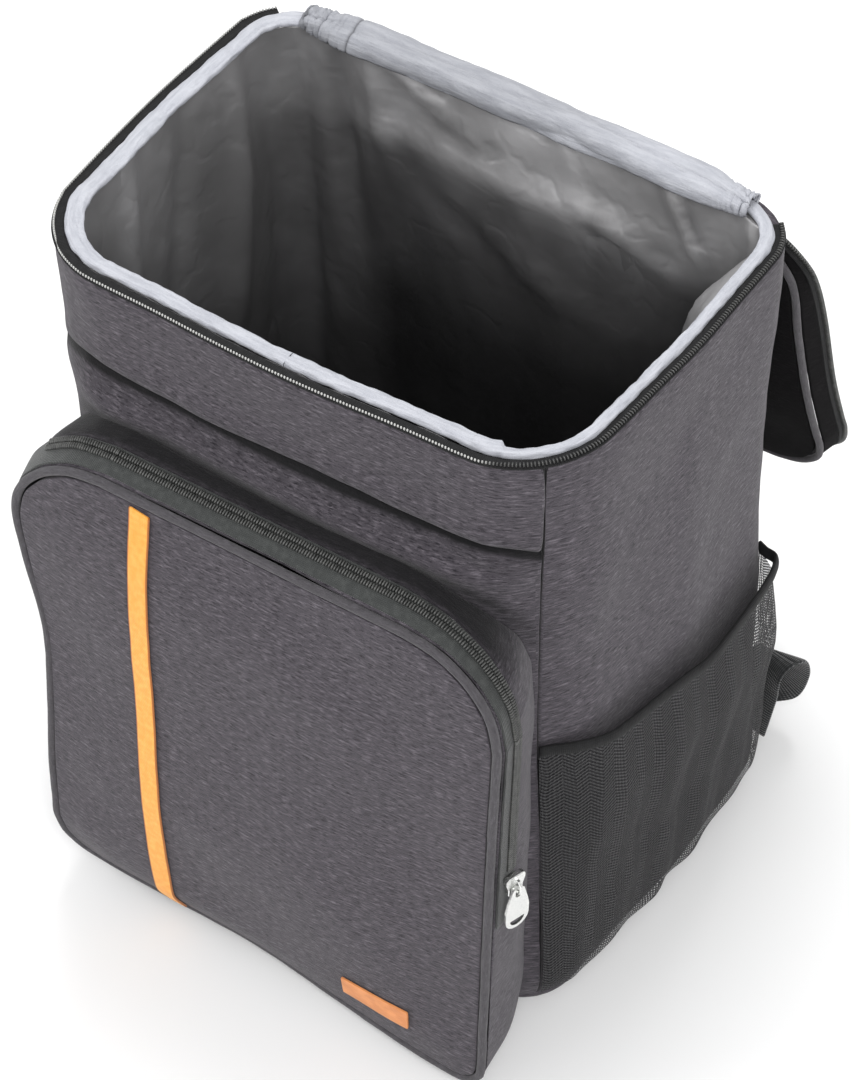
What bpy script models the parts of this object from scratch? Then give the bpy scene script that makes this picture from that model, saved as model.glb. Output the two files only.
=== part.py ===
"""An open cooler backpack: padded walls, a foil liner, a zipped front pocket, two net side pockets,
a lid folded back over the rear, and two shoulder straps. Metres, +Z up, the front faces -Y."""

import math
from collections import namedtuple

import bmesh
import bpy
from mathutils import Matrix, Vector
from mathutils.bvhtree import BVHTree

# Body walls
BODY_WIDTH = 0.280
BODY_DEPTH = 0.194
BODY_HEIGHT = 0.3725
FRONT_CORNER_RADIUS = 0.046
REAR_CORNER_RADIUS = 0.032
RIGHT_TUCK = 0.060
SIDE_BOW = 0.008
FRONT_BOW = 0.003
WALL = 0.006
BASE_THICKNESS = 0.006
BASE_EDGE_ROUND = 0.002
GAP = 0.0003
YOKE_DROP = 0.0465
YOKE_ARCH = 0.0010
YOKE_LIP = 0.0012
YOKE_SAG = 0.012
YOKE_SAG_FROM = 0.104
YOKE_SAG_FULL = 0.132
FLARE_OUT = 0.009
FLARE_HALF_WIDTH = 0.118
FLARE_FADE = 0.030

# Foil liner and rim
LINER_WALL = 0.0012
LINER_CLEARANCE = 0.0012
BINDING_RADIUS = 0.0040
BINDING_RISE = 0.0020
RIM_TAPE_WIDTH = 0.0048
TAPE_THICKNESS = 0.0010
TEETH_WIDTH = 0.0022
TEETH_HEIGHT = 0.0014

# Lid, hanging behind the back
LID_HALF_WIDTH = 0.131
LID_LENGTH = 0.216
LID_CORNER_RADIUS = 0.040
LID_PADDING = 0.005
LID_CROWN = 0.003
LID_RIM_DEPTH = 0.012
LID_RIM_AT_HINGE = 0.15
LID_RIM_GROWTH = 0.070
LID_FLARE = 0.003
LID_HANG_DROP = 0.021
LID_TILT_DEG = 16.5
LID_SAG = 0.008
LID_CLOTH = 0.0016
LID_PIPING_RADIUS = 0.0018
LID_TAPE_WIDTH = 0.0045
HINGE_WIDTH = 0.170
HINGE_CLOTH = 0.0014
HINGE_END_DROP = 0.014
HINGE_SLACK = 0.0006

# Front pocket
POCKET_LEFT = -0.120
POCKET_RIGHT = 0.130
POCKET_BOTTOM = 0.007
POCKET_TOP = 0.296
POCKET_RADII = (0.016, 0.048, 0.048, 0.036)
POCKET_TOP_DEPTH = 0.034
POCKET_BOTTOM_DEPTH = 0.049
POCKET_CROWN = 0.008
POCKET_TUCK = 0.012
POCKET_TUCK_HEIGHT = 0.045
POCKET_TUCK_SPAN = 0.120
POCKET_SEAM_LEFT = -0.1225
POCKET_SEAM_RIGHT = 0.1160
POCKET_SEAM_BOTTOM = 0.010
POCKET_SEAM_TOP = 0.301
GUSSET_PUFF = 0.005
GUSSET_CLOTH = 0.0016
GUSSET_SEAT = 0.0013
PANEL_CLOTH = 0.0025
PIPING_RADIUS = 0.0021
POCKET_TAPE_WIDTH = 0.0125
POCKET_TAPE_TAIL = 0.022
SLIDER_HEIGHT = 0.155
POCKET_TEETH_OFFSET = 0.0080
POCKET_TEETH_WIDTH = 0.0064

# Trim on the front pocket
STRIPE_X = -0.052
STRIPE_WIDTH = 0.0106
STRIPE_THICKNESS = 0.0010
TRIM_LIFT = 0.0006
PATCH_CENTRE_X = 0.0700
PATCH_CENTRE_Z = 0.0370
PATCH_WIDTH = 0.0370
PATCH_HEIGHT = 0.0130
PATCH_THICKNESS = 0.0012

# Zip slider and pull tab
SLIDER_LENGTH = 0.0125
SLIDER_WIDTH = 0.0105
SLIDER_WAIST = 0.0082
SLIDER_THICKNESS = 0.0030
BRIDGE_HALF_LENGTH = 0.0040
BRIDGE_RISE = 0.0033
BRIDGE_WIRE_RADIUS = 0.0008
PULL_LENGTH = 0.0270
PULL_WIDTH = 0.0130
PULL_EYE_WIDTH = 0.0066
PULL_THICKNESS = 0.0012
PULL_BAR = 0.0014
PULL_PIVOT_ALONG = 0.0012
PULL_PIVOT_RISE = 0.0012
PULL_EYE_LENGTH = 0.0045
PULL_EYE_HALF_WIDTH = 0.0016
SLIDER_TOE_DEG = 18.0
SLIDER_SEAT = 0.0015
SLIDER_EDGE_ROUND = 0.0004
BRIDGE_FOOT_SUNK = 0.0008
PULL_SHOULDER = 0.0012
PULL_SLOT_SHIFT = 0.0006

# Net side pockets
NET_THICKNESS = 0.0012
NET_CLEARANCE = 0.0012
NET_BOTTOM = 0.012
NET_HEM_FRONT = 0.187
NET_HEM_BACK = 0.162
NET_COLUMNS = 5
NET_ROWS = 8
NET_STRAND = 0.30
HEM_RADIUS = 0.0022
HEM_STEPS = 18

# Shoulder straps
STRAP_THICKNESS = 0.0055
STRAP_CROWN = 0.0015
WEBBING_WIDTH = 0.025
WEBBING_THICKNESS = 0.0018
BUCKLE_LENGTH = 0.022
BUCKLE_WIDTH = 0.036
BUCKLE_THICKNESS = 0.0042
BUCKLE_SLOT = 0.0044
BUCKLE_CORNER = 0.0010
BUCKLE_SLOT_SPARE = 0.0010

FRONT, RIGHT, BACK, LEFT = range(4)
LID_OUTLINE_STEPS = (4, 4, 4)
LID_HINGE_SKIP = 0.4
POCKET_OUTLINE_STEPS = (4, 8, 7)
POCKET_PANEL_RINGS = (1.0, 0.86, 0.58, 0.28)
LID_PANEL_RINGS = (1.0, 0.5)
POCKET_TEETH_SHORT = 2
STRIPE_STEPS = 16
HINGE_STEPS = 10
PULL_ARC_STEPS = 8
ARC_STEPS = 3
LONG_STEPS = 6
SHORT_STEPS = 4

# The heights, as shares of the body's, at which every wall and the liner have a row of points. The
# walls add the ends of the yoke's seam.
WALL_LADDER = (0.0, 0.06, 0.28, 0.55, 0.80)
LINER_LADDER = WALL_LADDER + (0.92,)

# How far up the pocket's side cloth its rows are, as shares of its depth.
GUSSET_LADDER = (0.0, 0.45, 1.0)

# Where the hinge cloth leaves the top of the rim's binding and how far it follows it, in degrees.
HINGE_WRAP_DEG = (90, 55)

BodySection = namedtuple("BodySection", "height width depth radius bow")
BODY_SECTIONS = (
    BodySection(height=0.00, width=0.955, depth=0.965, radius=0.60, bow=0.30),
    BodySection(height=0.06, width=1.000, depth=1.000, radius=0.75, bow=0.60),
    BodySection(height=0.55, width=0.985, depth=1.000, radius=1.10, bow=0.75),
    BodySection(height=1.00, width=1.000, depth=1.000, radius=1.00, bow=0.25),
)

FlareRow = namedtuple("FlareRow", "height out")
FLARE_ROWS = (
    FlareRow(height=0.50, out=0.0),
    FlareRow(height=0.80, out=1.0),
    FlareRow(height=0.86, out=0.0),
)

# How far the pocket's left and right edges stand to the right of straight ones, as shares of the
# pocket's width, up its height.
PocketEdge = namedtuple("PocketEdge", "height left right")
POCKET_EDGES = (
    PocketEdge(height=0.00, left=0.000, right=-0.008),
    PocketEdge(height=0.25, left=0.004, right=-0.006),
    PocketEdge(height=0.55, left=0.024, right=-0.004),
    PocketEdge(height=0.85, left=-0.024, right=0.002),
    PocketEdge(height=1.00, left=-0.008, right=0.002),
)

NetBulge = namedtuple("NetBulge", "along out")
NET_BULGE = (
    NetBulge(along=0.00, out=0.0),
    NetBulge(along=0.30, out=0.009),
    NetBulge(along=0.62, out=0.012),
    NetBulge(along=0.85, out=0.009),
    NetBulge(along=1.00, out=0.0),
)

NetProfile = namedtuple("NetProfile", "up share")
NET_PROFILE = (
    NetProfile(up=0.00, share=0.0),
    NetProfile(up=0.35, share=0.30),
    NetProfile(up=0.75, share=1.0),
    NetProfile(up=1.00, share=0.75),
)

LinerFold = namedtuple("LinerFold", "side place depth width peak")
LINER_FOLDS = (
    LinerFold(FRONT, place=-0.55, depth=0.0030, width=0.16, peak=0.55),
    LinerFold(FRONT, place=0.40, depth=0.0040, width=0.14, peak=0.60),
    LinerFold(RIGHT, place=-0.35, depth=0.0100, width=0.26, peak=0.88),
    LinerFold(RIGHT, place=0.45, depth=0.0230, width=0.42, peak=0.92),
    LinerFold(BACK, place=-0.86, depth=0.0150, width=0.16, peak=0.92),
    LinerFold(BACK, place=-0.15, depth=0.0110, width=0.50, peak=0.92),
    LinerFold(BACK, place=0.62, depth=0.0100, width=0.12, peak=0.70),
    LinerFold(LEFT, place=-0.35, depth=0.0100, width=0.24, peak=0.75),
    LinerFold(LEFT, place=0.50, depth=0.0060, width=0.24, peak=0.70),
)

StrapStation = namedtuple("StrapStation", "height across stand_off width")
STRAP_STATIONS = (
    StrapStation(height=0.830, across=0.32, stand_off=0.0005, width=0.046),
    StrapStation(height=0.740, across=0.36, stand_off=0.0014, width=0.050),
    StrapStation(height=0.620, across=0.42, stand_off=0.0060, width=0.054),
    StrapStation(height=0.480, across=0.50, stand_off=0.0110, width=0.054),
    StrapStation(height=0.340, across=0.57, stand_off=0.0130, width=0.050),
    StrapStation(height=0.230, across=0.62, stand_off=0.0130, width=0.042),
)

# The loop of webbing from the buckle round to the body's rear corner: its middle as shares of half
# the body's width, half its depth and its height, and which way its width points.
LoopStation = namedtuple("LoopStation", "across depth height spin_deg lift_deg")
WEBBING_STATIONS = (
    LoopStation(across=0.735, depth=1.200, height=0.100, spin_deg=0, lift_deg=0),
    LoopStation(across=0.785, depth=1.250, height=0.060, spin_deg=0, lift_deg=0),
    LoopStation(across=0.850, depth=1.310, height=0.058, spin_deg=-8, lift_deg=8),
    LoopStation(across=0.925, depth=1.300, height=0.080, spin_deg=-16, lift_deg=20),
    LoopStation(across=0.957, depth=1.280, height=0.126, spin_deg=-20, lift_deg=28),
    LoopStation(across=0.953, depth=1.215, height=0.161, spin_deg=-18, lift_deg=24),
    LoopStation(across=0.929, depth=1.125, height=0.168, spin_deg=-10, lift_deg=14),
    LoopStation(across=0.914, depth=1.065, height=0.134, spin_deg=-4, lift_deg=6),
    LoopStation(across=0.900, depth=1.025, height=0.090, spin_deg=0, lift_deg=0),
    LoopStation(across=0.885, depth=1.015, height=0.050, spin_deg=0, lift_deg=0),
)


def from_table(rows, share):
    """The columns of a table at one share, eased between the rows on either side."""
    share = min(max(share, rows[0][0]), rows[-1][0])
    for low, high in zip(rows, rows[1:]):
        if share <= high[0]:
            break
    part = (share - low[0]) / (high[0] - low[0])
    part = part * part * (3 - 2 * part)
    return type(low)(*(a + (b - a) * part for a, b in zip(low, high)))


def mix(low, high, part):
    return low + (high - low) * part


def clear_scene():
    for old in list(bpy.data.objects):
        bpy.data.objects.remove(old, do_unlink=True)


def make_collection(name, shown=True):
    collection = bpy.data.collections.new(name)
    bpy.context.scene.collection.children.link(collection)
    collection.hide_render = not shown
    return collection


def make_material(name, colour, roughness, metallic=0.0):
    material = bpy.data.materials.new(name)
    material.use_nodes = True
    shader = material.node_tree.nodes["Principled BSDF"]
    shader.inputs["Base Color"].default_value = (*colour, 1.0)
    shader.inputs["Roughness"].default_value = roughness
    shader.inputs["Metallic"].default_value = metallic
    material.diffuse_color = (*colour, 1.0)
    return material


clear_scene()
PARTS = make_collection("cooler_backpack")
CUTTERS = make_collection("cutters", shown=False)
CHARCOAL = make_material("charcoal_fabric", (0.092, 0.088, 0.100), 0.85)
BLACK = make_material("black_trim", (0.016, 0.016, 0.018), 0.70)
FOIL = make_material("silver_foil", (0.380, 0.385, 0.400), 0.35, 0.30)
PALE = make_material("pale_binding", (0.620, 0.640, 0.690), 0.60)
ORANGE = make_material("orange_webbing", (0.940, 0.380, 0.050), 0.65)
TAN = make_material("tan_patch", (0.750, 0.240, 0.070), 0.50)
STEEL = make_material("bright_metal", (0.720, 0.730, 0.710), 0.25, 1.0)


def finish(name, mesh, material, collection=PARTS, smooth=True):
    """An object for a finished mesh, with its material and shading."""
    thing = bpy.data.objects.new(name, mesh)
    collection.objects.link(thing)
    mesh.materials.append(material)
    if smooth:
        mesh.shade_smooth()
        mesh.set_sharp_from_angle(angle=math.radians(40))
    return thing


def mesh_from(bm, name):
    bmesh.ops.remove_doubles(bm, verts=bm.verts, dist=1e-6)
    mesh = bpy.data.meshes.new(name)
    bm.to_mesh(mesh)
    bm.free()
    return mesh


def skin(bm, rows, closed):
    """Quads through rows of points. They face away from the second row's right-hand side."""
    grid = [[bm.verts.new(point) for point in row] for row in rows]
    for low, high in zip(grid, grid[1:]):
        for i in range(len(low) if closed else len(low) - 1):
            j = (i + 1) % len(low)
            bm.faces.new((low[i], low[j], high[j], high[i]))
    return grid


def slab(name, outer, inner, material, closed=False):
    """A wall between an outer and an inner skin that are worked out apart, so that what lines it
    can follow the inner one exactly."""
    bm = bmesh.new()
    near = skin(bm, outer, closed)
    far = skin(bm, inner, closed)
    bmesh.ops.reverse_faces(bm, faces=[f for f in bm.faces if f.verts[0] in set(sum(far, []))])
    edges = [(near[0], far[0]), (far[-1], near[-1])]
    if not closed:
        edges.append(([row[-1] for row in near], [row[-1] for row in far]))
        edges.append(([row[0] for row in far], [row[0] for row in near]))
    for first, second in edges:
        for i in range(len(first) if closed else len(first) - 1):
            j = (i + 1) % len(first)
            bm.faces.new((first[j], first[i], second[i], second[j]))
    return finish(name, mesh_from(bm, name), material)


def sheet(name, rows, thickness, material, closed=False):
    """A surface through rows of points, thickened on its inner side."""
    bm = bmesh.new()
    skin(bm, rows, closed)
    thing = finish(name, mesh_from(bm, name), material)
    wall = thing.modifiers.new("thickness", "SOLIDIFY")
    wall.thickness = thickness
    wall.offset = -1
    return thing


def tube(name, points, radius, material, closed=False, sides=6):
    """A cord-like piece: a curve with a round bevel."""
    curve = bpy.data.curves.new(name, "CURVE")
    curve.dimensions = "3D"
    spline = curve.splines.new("POLY")
    spline.points.add(len(points) - 1)
    for slot, point in zip(spline.points, points):
        slot.co = (*point, 1)
    spline.use_cyclic_u = closed
    curve.bevel_depth = radius
    curve.bevel_resolution = (sides - 4) // 2
    curve.use_fill_caps = not closed
    curve.materials.append(material)
    thing = bpy.data.objects.new(name, curve)
    PARTS.objects.link(thing)
    return thing


def padded_panel(name, outline, place, rings, crown, thickness, material):
    """A panel inside a closed outline, crowned in the middle, on rings that shrink towards it."""
    middle = sum(outline, Vector((0, 0))) / len(outline)
    bm = bmesh.new()
    rows = []
    for share in rings:
        rise = crown * (1 - share**2)
        rows.append([place(*(middle + (point - middle) * share), rise) for point in outline])
    grid = skin(bm, rows, closed=True)
    centre = bm.verts.new(place(*middle, crown))
    for i, vert in enumerate(grid[-1]):
        bm.faces.new((vert, grid[-1][(i + 1) % len(outline)], centre))
    thing = finish(name, mesh_from(bm, name), material)
    wall = thing.modifiers.new("padding", "SOLIDIFY")
    wall.thickness = thickness
    wall.offset = -1
    return thing


def rounded_rectangle(left, right, bottom, top, radii, steps):
    """Anticlockwise outline that starts at the right end of the bottom edge. The radii start there
    too; the steps are those of a corner, of the sides and of the top and bottom."""
    arc, side, across = steps
    corners = (
        (right - radii[0], bottom + radii[0], radii[0], side),
        (right - radii[1], top - radii[1], radii[1], across),
        (left + radii[2], top - radii[2], radii[2], side),
        (left + radii[3], bottom + radii[3], radii[3], across),
    )
    points = []
    for turn, (x, y, radius, count) in enumerate(corners):
        for i in range(arc + 1):
            angle = math.radians(90) * (turn - 1 + i / arc)
            points.append(Vector((x + radius * math.cos(angle), y + radius * math.sin(angle))))
        after_x, after_y, after_radius, _ = corners[(turn + 1) % 4]
        angle = math.radians(90) * turn
        end = Vector((after_x + after_radius * math.cos(angle), after_y + after_radius * math.sin(angle)))
        points.extend(points[-1].lerp(end, i / count) for i in range(1, count))
    return points


def stretch(loop, start, end):
    """Part of a closed loop of points, between two places counted in points and parts of one."""
    count = len(loop)

    def at(place):
        low = math.floor(place)
        return loop[low % count].lerp(loop[(low + 1) % count], place - low)

    middle = [loop[k % count] for k in range(math.floor(start) + 1, math.ceil(end))]
    return [at(start)] + middle + [at(end)]


def place_at_height(outline, z):
    """Where a closed outline, anticlockwise from its bottom right, first climbs past a height."""
    for k, (low, high) in enumerate(zip(outline, outline[1:])):
        if low.y <= z < high.y:
            return k + (z - low.y) / (high.y - low.y)
    return 0.0


# Body


CORNER_RADII = (
    (FRONT_CORNER_RADIUS, FRONT_CORNER_RADIUS),
    (FRONT_CORNER_RADIUS, REAR_CORNER_RADIUS),
    (REAR_CORNER_RADIUS, REAR_CORNER_RADIUS),
    (REAR_CORNER_RADIUS, FRONT_CORNER_RADIUS),
)


def side_spans(side, row, inset):
    """Half of a side's length, its distance from the middle, and how far it bows out."""
    half_width = BODY_WIDTH / 2 * row.width - inset
    half_depth = BODY_DEPTH / 2 * row.depth - inset
    if side == FRONT:
        return half_width, half_depth, FRONT_BOW
    if side == BACK:
        return half_width, half_depth, 0.0
    return half_depth, half_width, SIDE_BOW * row.bow


def body_back(z):
    return BODY_DEPTH / 2 * from_table(BODY_SECTIONS, z / BODY_HEIGHT).depth


def body_side(side, z, inset=0.0, trim=0.0, steps=None):
    """One side of the body's outline at a height, anticlockwise from above, from the middle of one
    corner to the middle of the next. The right front corner is drawn in a little."""
    row = from_table(BODY_SECTIONS, z / BODY_HEIGHT)
    across, out, bow = side_spans(side, row, inset)
    first, last = (row.radius * radius - inset for radius in CORNER_RADII[side])
    flat = steps or (LONG_STEPS if side in (FRONT, BACK) else SHORT_STEPS)
    square, slant = math.radians(-90), math.radians(45)
    points = []
    for i in range(ARC_STEPS + 1):
        angle = mix(square - slant + trim / first, square, i / ARC_STEPS)
        points.append((first * math.cos(angle) - across + first, first * math.sin(angle) - out + first))
    for i in range(1, flat):
        x = mix(first - across, across - last, i / flat)
        points.append((x, -out - bow * math.sin(math.pi * i / flat) ** 2))
    for i in range(ARC_STEPS + 1):
        angle = mix(square, square + slant - trim / last, i / ARC_STEPS)
        points.append((last * math.cos(angle) + across - last, last * math.sin(angle) - out + last))
    turn = Matrix.Rotation(math.radians(90) * side, 3, "Z")
    placed = [turn @ Vector((x, y, z)) for x, y in points]
    for point in placed:
        if point.x > 0:
            point.x *= 1 - RIGHT_TUCK * (0.5 - point.y / BODY_DEPTH)
    return placed


def body_loop(z, inset=0.0):
    """The body's whole outline at a height, with each corner's middle point once."""
    points = []
    for side in (FRONT, RIGHT, BACK, LEFT):
        points.extend(body_side(side, z, inset)[:-1])
    return points


def flare(x, z):
    """How far the front swells forward above the pocket, where the pocket's top is sewn in."""
    out = from_table(FLARE_ROWS, z / BODY_HEIGHT).out
    return FLARE_OUT * out * min(max((FLARE_HALF_WIDTH - abs(x)) / FLARE_FADE, 0), 1)


def yoke_seam(x):
    """The height of the seam between the front's two panels, which sags at the corners."""
    arch = YOKE_ARCH * math.cos(math.pi * x / BODY_WIDTH) ** 2
    share = (abs(x) - YOKE_SAG_FROM) / (YOKE_SAG_FULL - YOKE_SAG_FROM)
    sag = YOKE_SAG * min(max(share, 0), 1) ** 1.5
    return BODY_HEIGHT - YOKE_DROP + arch - sag


def wall_heights():
    """Heights that neighbouring walls share along their seams."""
    foot = BASE_THICKNESS + GAP
    seam_end = yoke_seam(body_side(FRONT, BODY_HEIGHT)[0].x)
    return [max(foot, share * BODY_HEIGHT) for share in WALL_LADDER] + [seam_end, BODY_HEIGHT]


def wall_rows(side, heights, inset, bottom=None, top=None, lip=0.0, swell=False):
    """Rows of one wall. Where its bottom or top edge is a curve, the rows follow it by degrees."""
    rows = []
    plan = body_side(side, BODY_HEIGHT)
    low, high = heights[0], heights[-1]
    for height in heights:
        row = []
        for k, place in enumerate(plan):
            z = height
            if top:
                z = low + (height - low) * (top(place.x) - low) / (high - low)
            if bottom:
                z = high - (high - height) * (high - bottom(place.x)) / (high - low)
            proud = lip if height == low and abs(place.x) < YOKE_SAG_FROM else 0
            point = body_side(side, z, inset - proud, GAP / 2)[k]
            if swell:
                point.y -= flare(point.x, z)
            row.append(point)
        rows.append(row)
    return rows


def under_yoke(x):
    return yoke_seam(x) - GAP


FRONT_ROWS = wall_rows(FRONT, wall_heights()[:-1], 0.0, top=under_yoke, swell=True)


def body_front(x, z):
    """The place of the front panel's outer face at a point seen from the front."""
    places = []
    for row in FRONT_ROWS:
        reach = min(max(x, row[0].x), row[-1].x)
        for low, high in zip(row, row[1:]):
            if reach <= high.x:
                break
        places.append(low.lerp(high, (reach - low.x) / (high.x - low.x)))
    for low, high in zip(places, places[1:]):
        if z <= high.z:
            break
    return low.lerp(high, (z - low.z) / (high.z - low.z)).y


def make_body():
    heights = wall_heights()
    edges = (
        ("front_panel", FRONT, heights[:-1], dict(top=under_yoke, swell=True)),
        ("front_yoke", FRONT, heights[-2:], dict(bottom=yoke_seam)),
        ("side_panel_right", RIGHT, heights, {}),
        ("back_panel", BACK, heights, {}),
        ("side_panel_left", LEFT, heights, {}),
    )
    for name, side, levels, shape in edges:
        lip = YOKE_LIP if name == "front_yoke" else 0
        outer = wall_rows(side, levels, 0.0, lip=lip, **shape)
        inner = wall_rows(side, levels, WALL, **shape)
        slab(name, outer, inner, CHARCOAL)


def make_base():
    """The padded base, the one piece that meets the ground."""
    bm = bmesh.new()
    rows = [body_loop(0.0, BASE_EDGE_ROUND), body_loop(0.0), body_loop(0.0)]
    for row, z in zip(rows, (0.0, BASE_EDGE_ROUND, BASE_THICKNESS)):
        for point in row:
            point.z = z
    grid = skin(bm, rows, closed=True)
    bm.faces.new(list(reversed(grid[0])))
    bm.faces.new(grid[-1])
    finish("base_panel", mesh_from(bm, "base_panel"), CHARCOAL)


# Liner and rim


def liner_fold(side, place, height):
    """How far the foil stands in from the wall: most at each fold's peak, nothing at base and rim."""
    depth = 0.0
    for fold in LINER_FOLDS:
        if fold.side == side:
            part = height / fold.peak if height < fold.peak else (1 - height) / (1 - fold.peak)
            share = math.sin(math.radians(90) * min(max(part, 0), 1))
            depth = max(depth, fold.depth * share * math.exp(-(((place - fold.place) / fold.width) ** 2)))
    return depth


def liner_rows(inset, floor):
    """The liner's outer or inner skin, from the middle of its floor out and up to its rim."""
    top = BODY_HEIGHT + BINDING_RISE - BINDING_RADIUS - GAP
    heights = [max(floor, share * BODY_HEIGHT) for share in LINER_LADDER] + [top]
    rows = []
    for z in heights:
        row = []
        for side in (FRONT, RIGHT, BACK, LEFT):
            steps = 2 * (LONG_STEPS if side in (FRONT, BACK) else SHORT_STEPS)
            points = body_side(side, z, inset, steps=steps)
            inward = Matrix.Rotation(math.radians(90) * side, 3, "Z") @ Vector((0, 1, 0))
            for k, point in enumerate(points[:-1]):
                place = 2 * k / (len(points) - 1) - 1
                row.append(point + inward * liner_fold(side, place, (z - floor) / (top - floor)))
        rows.append(row)
    centre = [Vector((p.x / 2, p.y / 2, floor)) for p in rows[0]]
    return [centre] + rows


def make_liner():
    inset = WALL + LINER_CLEARANCE
    floor = BASE_THICKNESS + GAP
    outer = liner_rows(inset, floor)
    inner = liner_rows(inset + LINER_WALL, floor + LINER_WALL)
    bm = bmesh.new()
    near = skin(bm, outer, closed=True)
    far = skin(bm, inner, closed=True)
    bm.faces.new(list(reversed(near[0])))
    bm.faces.new(list(reversed(far[0])))
    far_verts = set(sum(far, []))
    bmesh.ops.reverse_faces(bm, faces=[f for f in bm.faces if f.verts[0] in far_verts])
    count = len(near[-1])
    for i in range(count):
        j = (i + 1) % count
        bm.faces.new((near[-1][i], near[-1][j], far[-1][j], far[-1][i]))
    finish("liner", mesh_from(bm, "liner"), FOIL)


def rim_path(z, inset):
    """The rim's front and sides, from one rear corner's middle round to the other's."""
    points = []
    for side in (LEFT, FRONT, RIGHT):
        points.extend(body_side(side, BODY_HEIGHT, inset)[:-1])
    points.append(body_side(RIGHT, BODY_HEIGHT, inset)[-1])
    for point in points:
        point.z = z
    return points


def make_rim():
    tape_z = BODY_HEIGHT + GAP + TAPE_THICKNESS
    sheet(
        "rim_zip_tape",
        [rim_path(tape_z, 0.0), rim_path(tape_z, RIM_TAPE_WIDTH)],
        TAPE_THICKNESS,
        BLACK,
    )
    teeth_z = tape_z + GAP + TEETH_HEIGHT
    sheet(
        "rim_zip_teeth",
        [rim_path(teeth_z, 0.0), rim_path(teeth_z, TEETH_WIDTH)],
        TEETH_HEIGHT,
        BLACK,
    )
    inset = RIM_TAPE_WIDTH + GAP + BINDING_RADIUS
    tube(
        "rim_binding",
        [Vector((p.x, p.y, BODY_HEIGHT + BINDING_RISE)) for p in body_loop(BODY_HEIGHT, inset)],
        BINDING_RADIUS,
        PALE,
        closed=True,
    )


# Lid


def lid_point(x, along, out):
    """A point on the hanging lid: across it, down from the hinge, and out from its outer cloth."""
    tilt = math.radians(LID_TILT_DEG)
    sag = LID_SAG * math.sin(math.pi * min(max(along / LID_LENGTH, 0), 1))
    y = BODY_DEPTH / 2 + 2 * GAP + along * math.sin(tilt) - sag + out * math.cos(tilt)
    z = BODY_HEIGHT - LID_HANG_DROP - along * math.cos(tilt) + out * math.sin(tilt)
    return Vector((x, y, z))


def lid_outline(inset):
    """The lid seen from outside the pack, flat: x to the left, so that it faces the rear."""
    radii = (LID_CORNER_RADIUS - inset,) * 4
    left, right = inset - LID_HALF_WIDTH, LID_HALF_WIDTH - inset
    return rounded_rectangle(left, right, inset - LID_LENGTH, -inset, radii, LID_OUTLINE_STEPS)


def lid_rim_out(out, along):
    """How far out a part of the lid's rim stands: less near the hinge, where it is folded flat."""
    low = 2 * LID_PIPING_RADIUS + GAP
    growth = min(max(along / LID_RIM_GROWTH, 0), 1)
    return low + (out - low) * mix(LID_RIM_AT_HINGE, 1, growth)


def lid_row(inset, out):
    """The lid's edge from one end of the hinge round its free side to the other."""
    row = [lid_point(-p.x, -p.y, lid_rim_out(out, -p.y)) for p in lid_outline(inset)]
    arc, side, across = LID_OUTLINE_STEPS
    after_hinge = 2 * arc + side + across
    return stretch(row, after_hinge + LID_HINGE_SKIP, after_hinge - across + len(row) - LID_HINGE_SKIP)


def make_lid():
    padded_panel(
        "lid_panel",
        lid_outline(2 * LID_PIPING_RADIUS + GAP),
        lambda x, y, rise: lid_point(-x, -y, LID_PADDING + rise),
        LID_PANEL_RINGS,
        LID_CROWN,
        LID_PADDING,
        CHARCOAL,
    )
    piping = [lid_point(-p.x, -p.y, LID_PIPING_RADIUS) for p in lid_outline(LID_PIPING_RADIUS)]
    tube("lid_piping", piping, LID_PIPING_RADIUS, CHARCOAL, closed=True)
    low = 2 * LID_PIPING_RADIUS + GAP
    edge = LID_RIM_DEPTH + GAP

    def band(name, outs, cloth, stand_off, material):
        """A strip round the lid's edge, over a span of its depth."""
        flares = [LID_FLARE * min(max((out - low) / (LID_RIM_DEPTH - low), 0), 1) for out in outs]
        outer = [lid_row(-part - stand_off - cloth, out) for part, out in zip(flares, outs)]
        inner = [lid_row(-part - stand_off, out) for part, out in zip(flares, outs)]
        slab(name, outer, inner, material)

    band("lid_gusset", (low, LID_RIM_DEPTH), LID_CLOTH, -LID_CLOTH, CHARCOAL)
    band("lid_zip_tape", (edge, edge + LID_TAPE_WIDTH), TAPE_THICKNESS, -TAPE_THICKNESS, BLACK)
    teeth_edge = edge + LID_TAPE_WIDTH - TEETH_WIDTH
    band("lid_zip_teeth", (teeth_edge, edge + LID_TAPE_WIDTH), TEETH_HEIGHT, GAP, BLACK)
    padded_panel(
        "lid_liner",
        lid_outline(2 * LID_PIPING_RADIUS + 2 * GAP + LID_CLOTH),
        lambda x, y, rise: lid_point(-x, -y, LID_PADDING + GAP + LINER_WALL + rise),
        LID_PANEL_RINGS,
        LID_CROWN,
        LINER_WALL,
        FOIL,
    )


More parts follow.
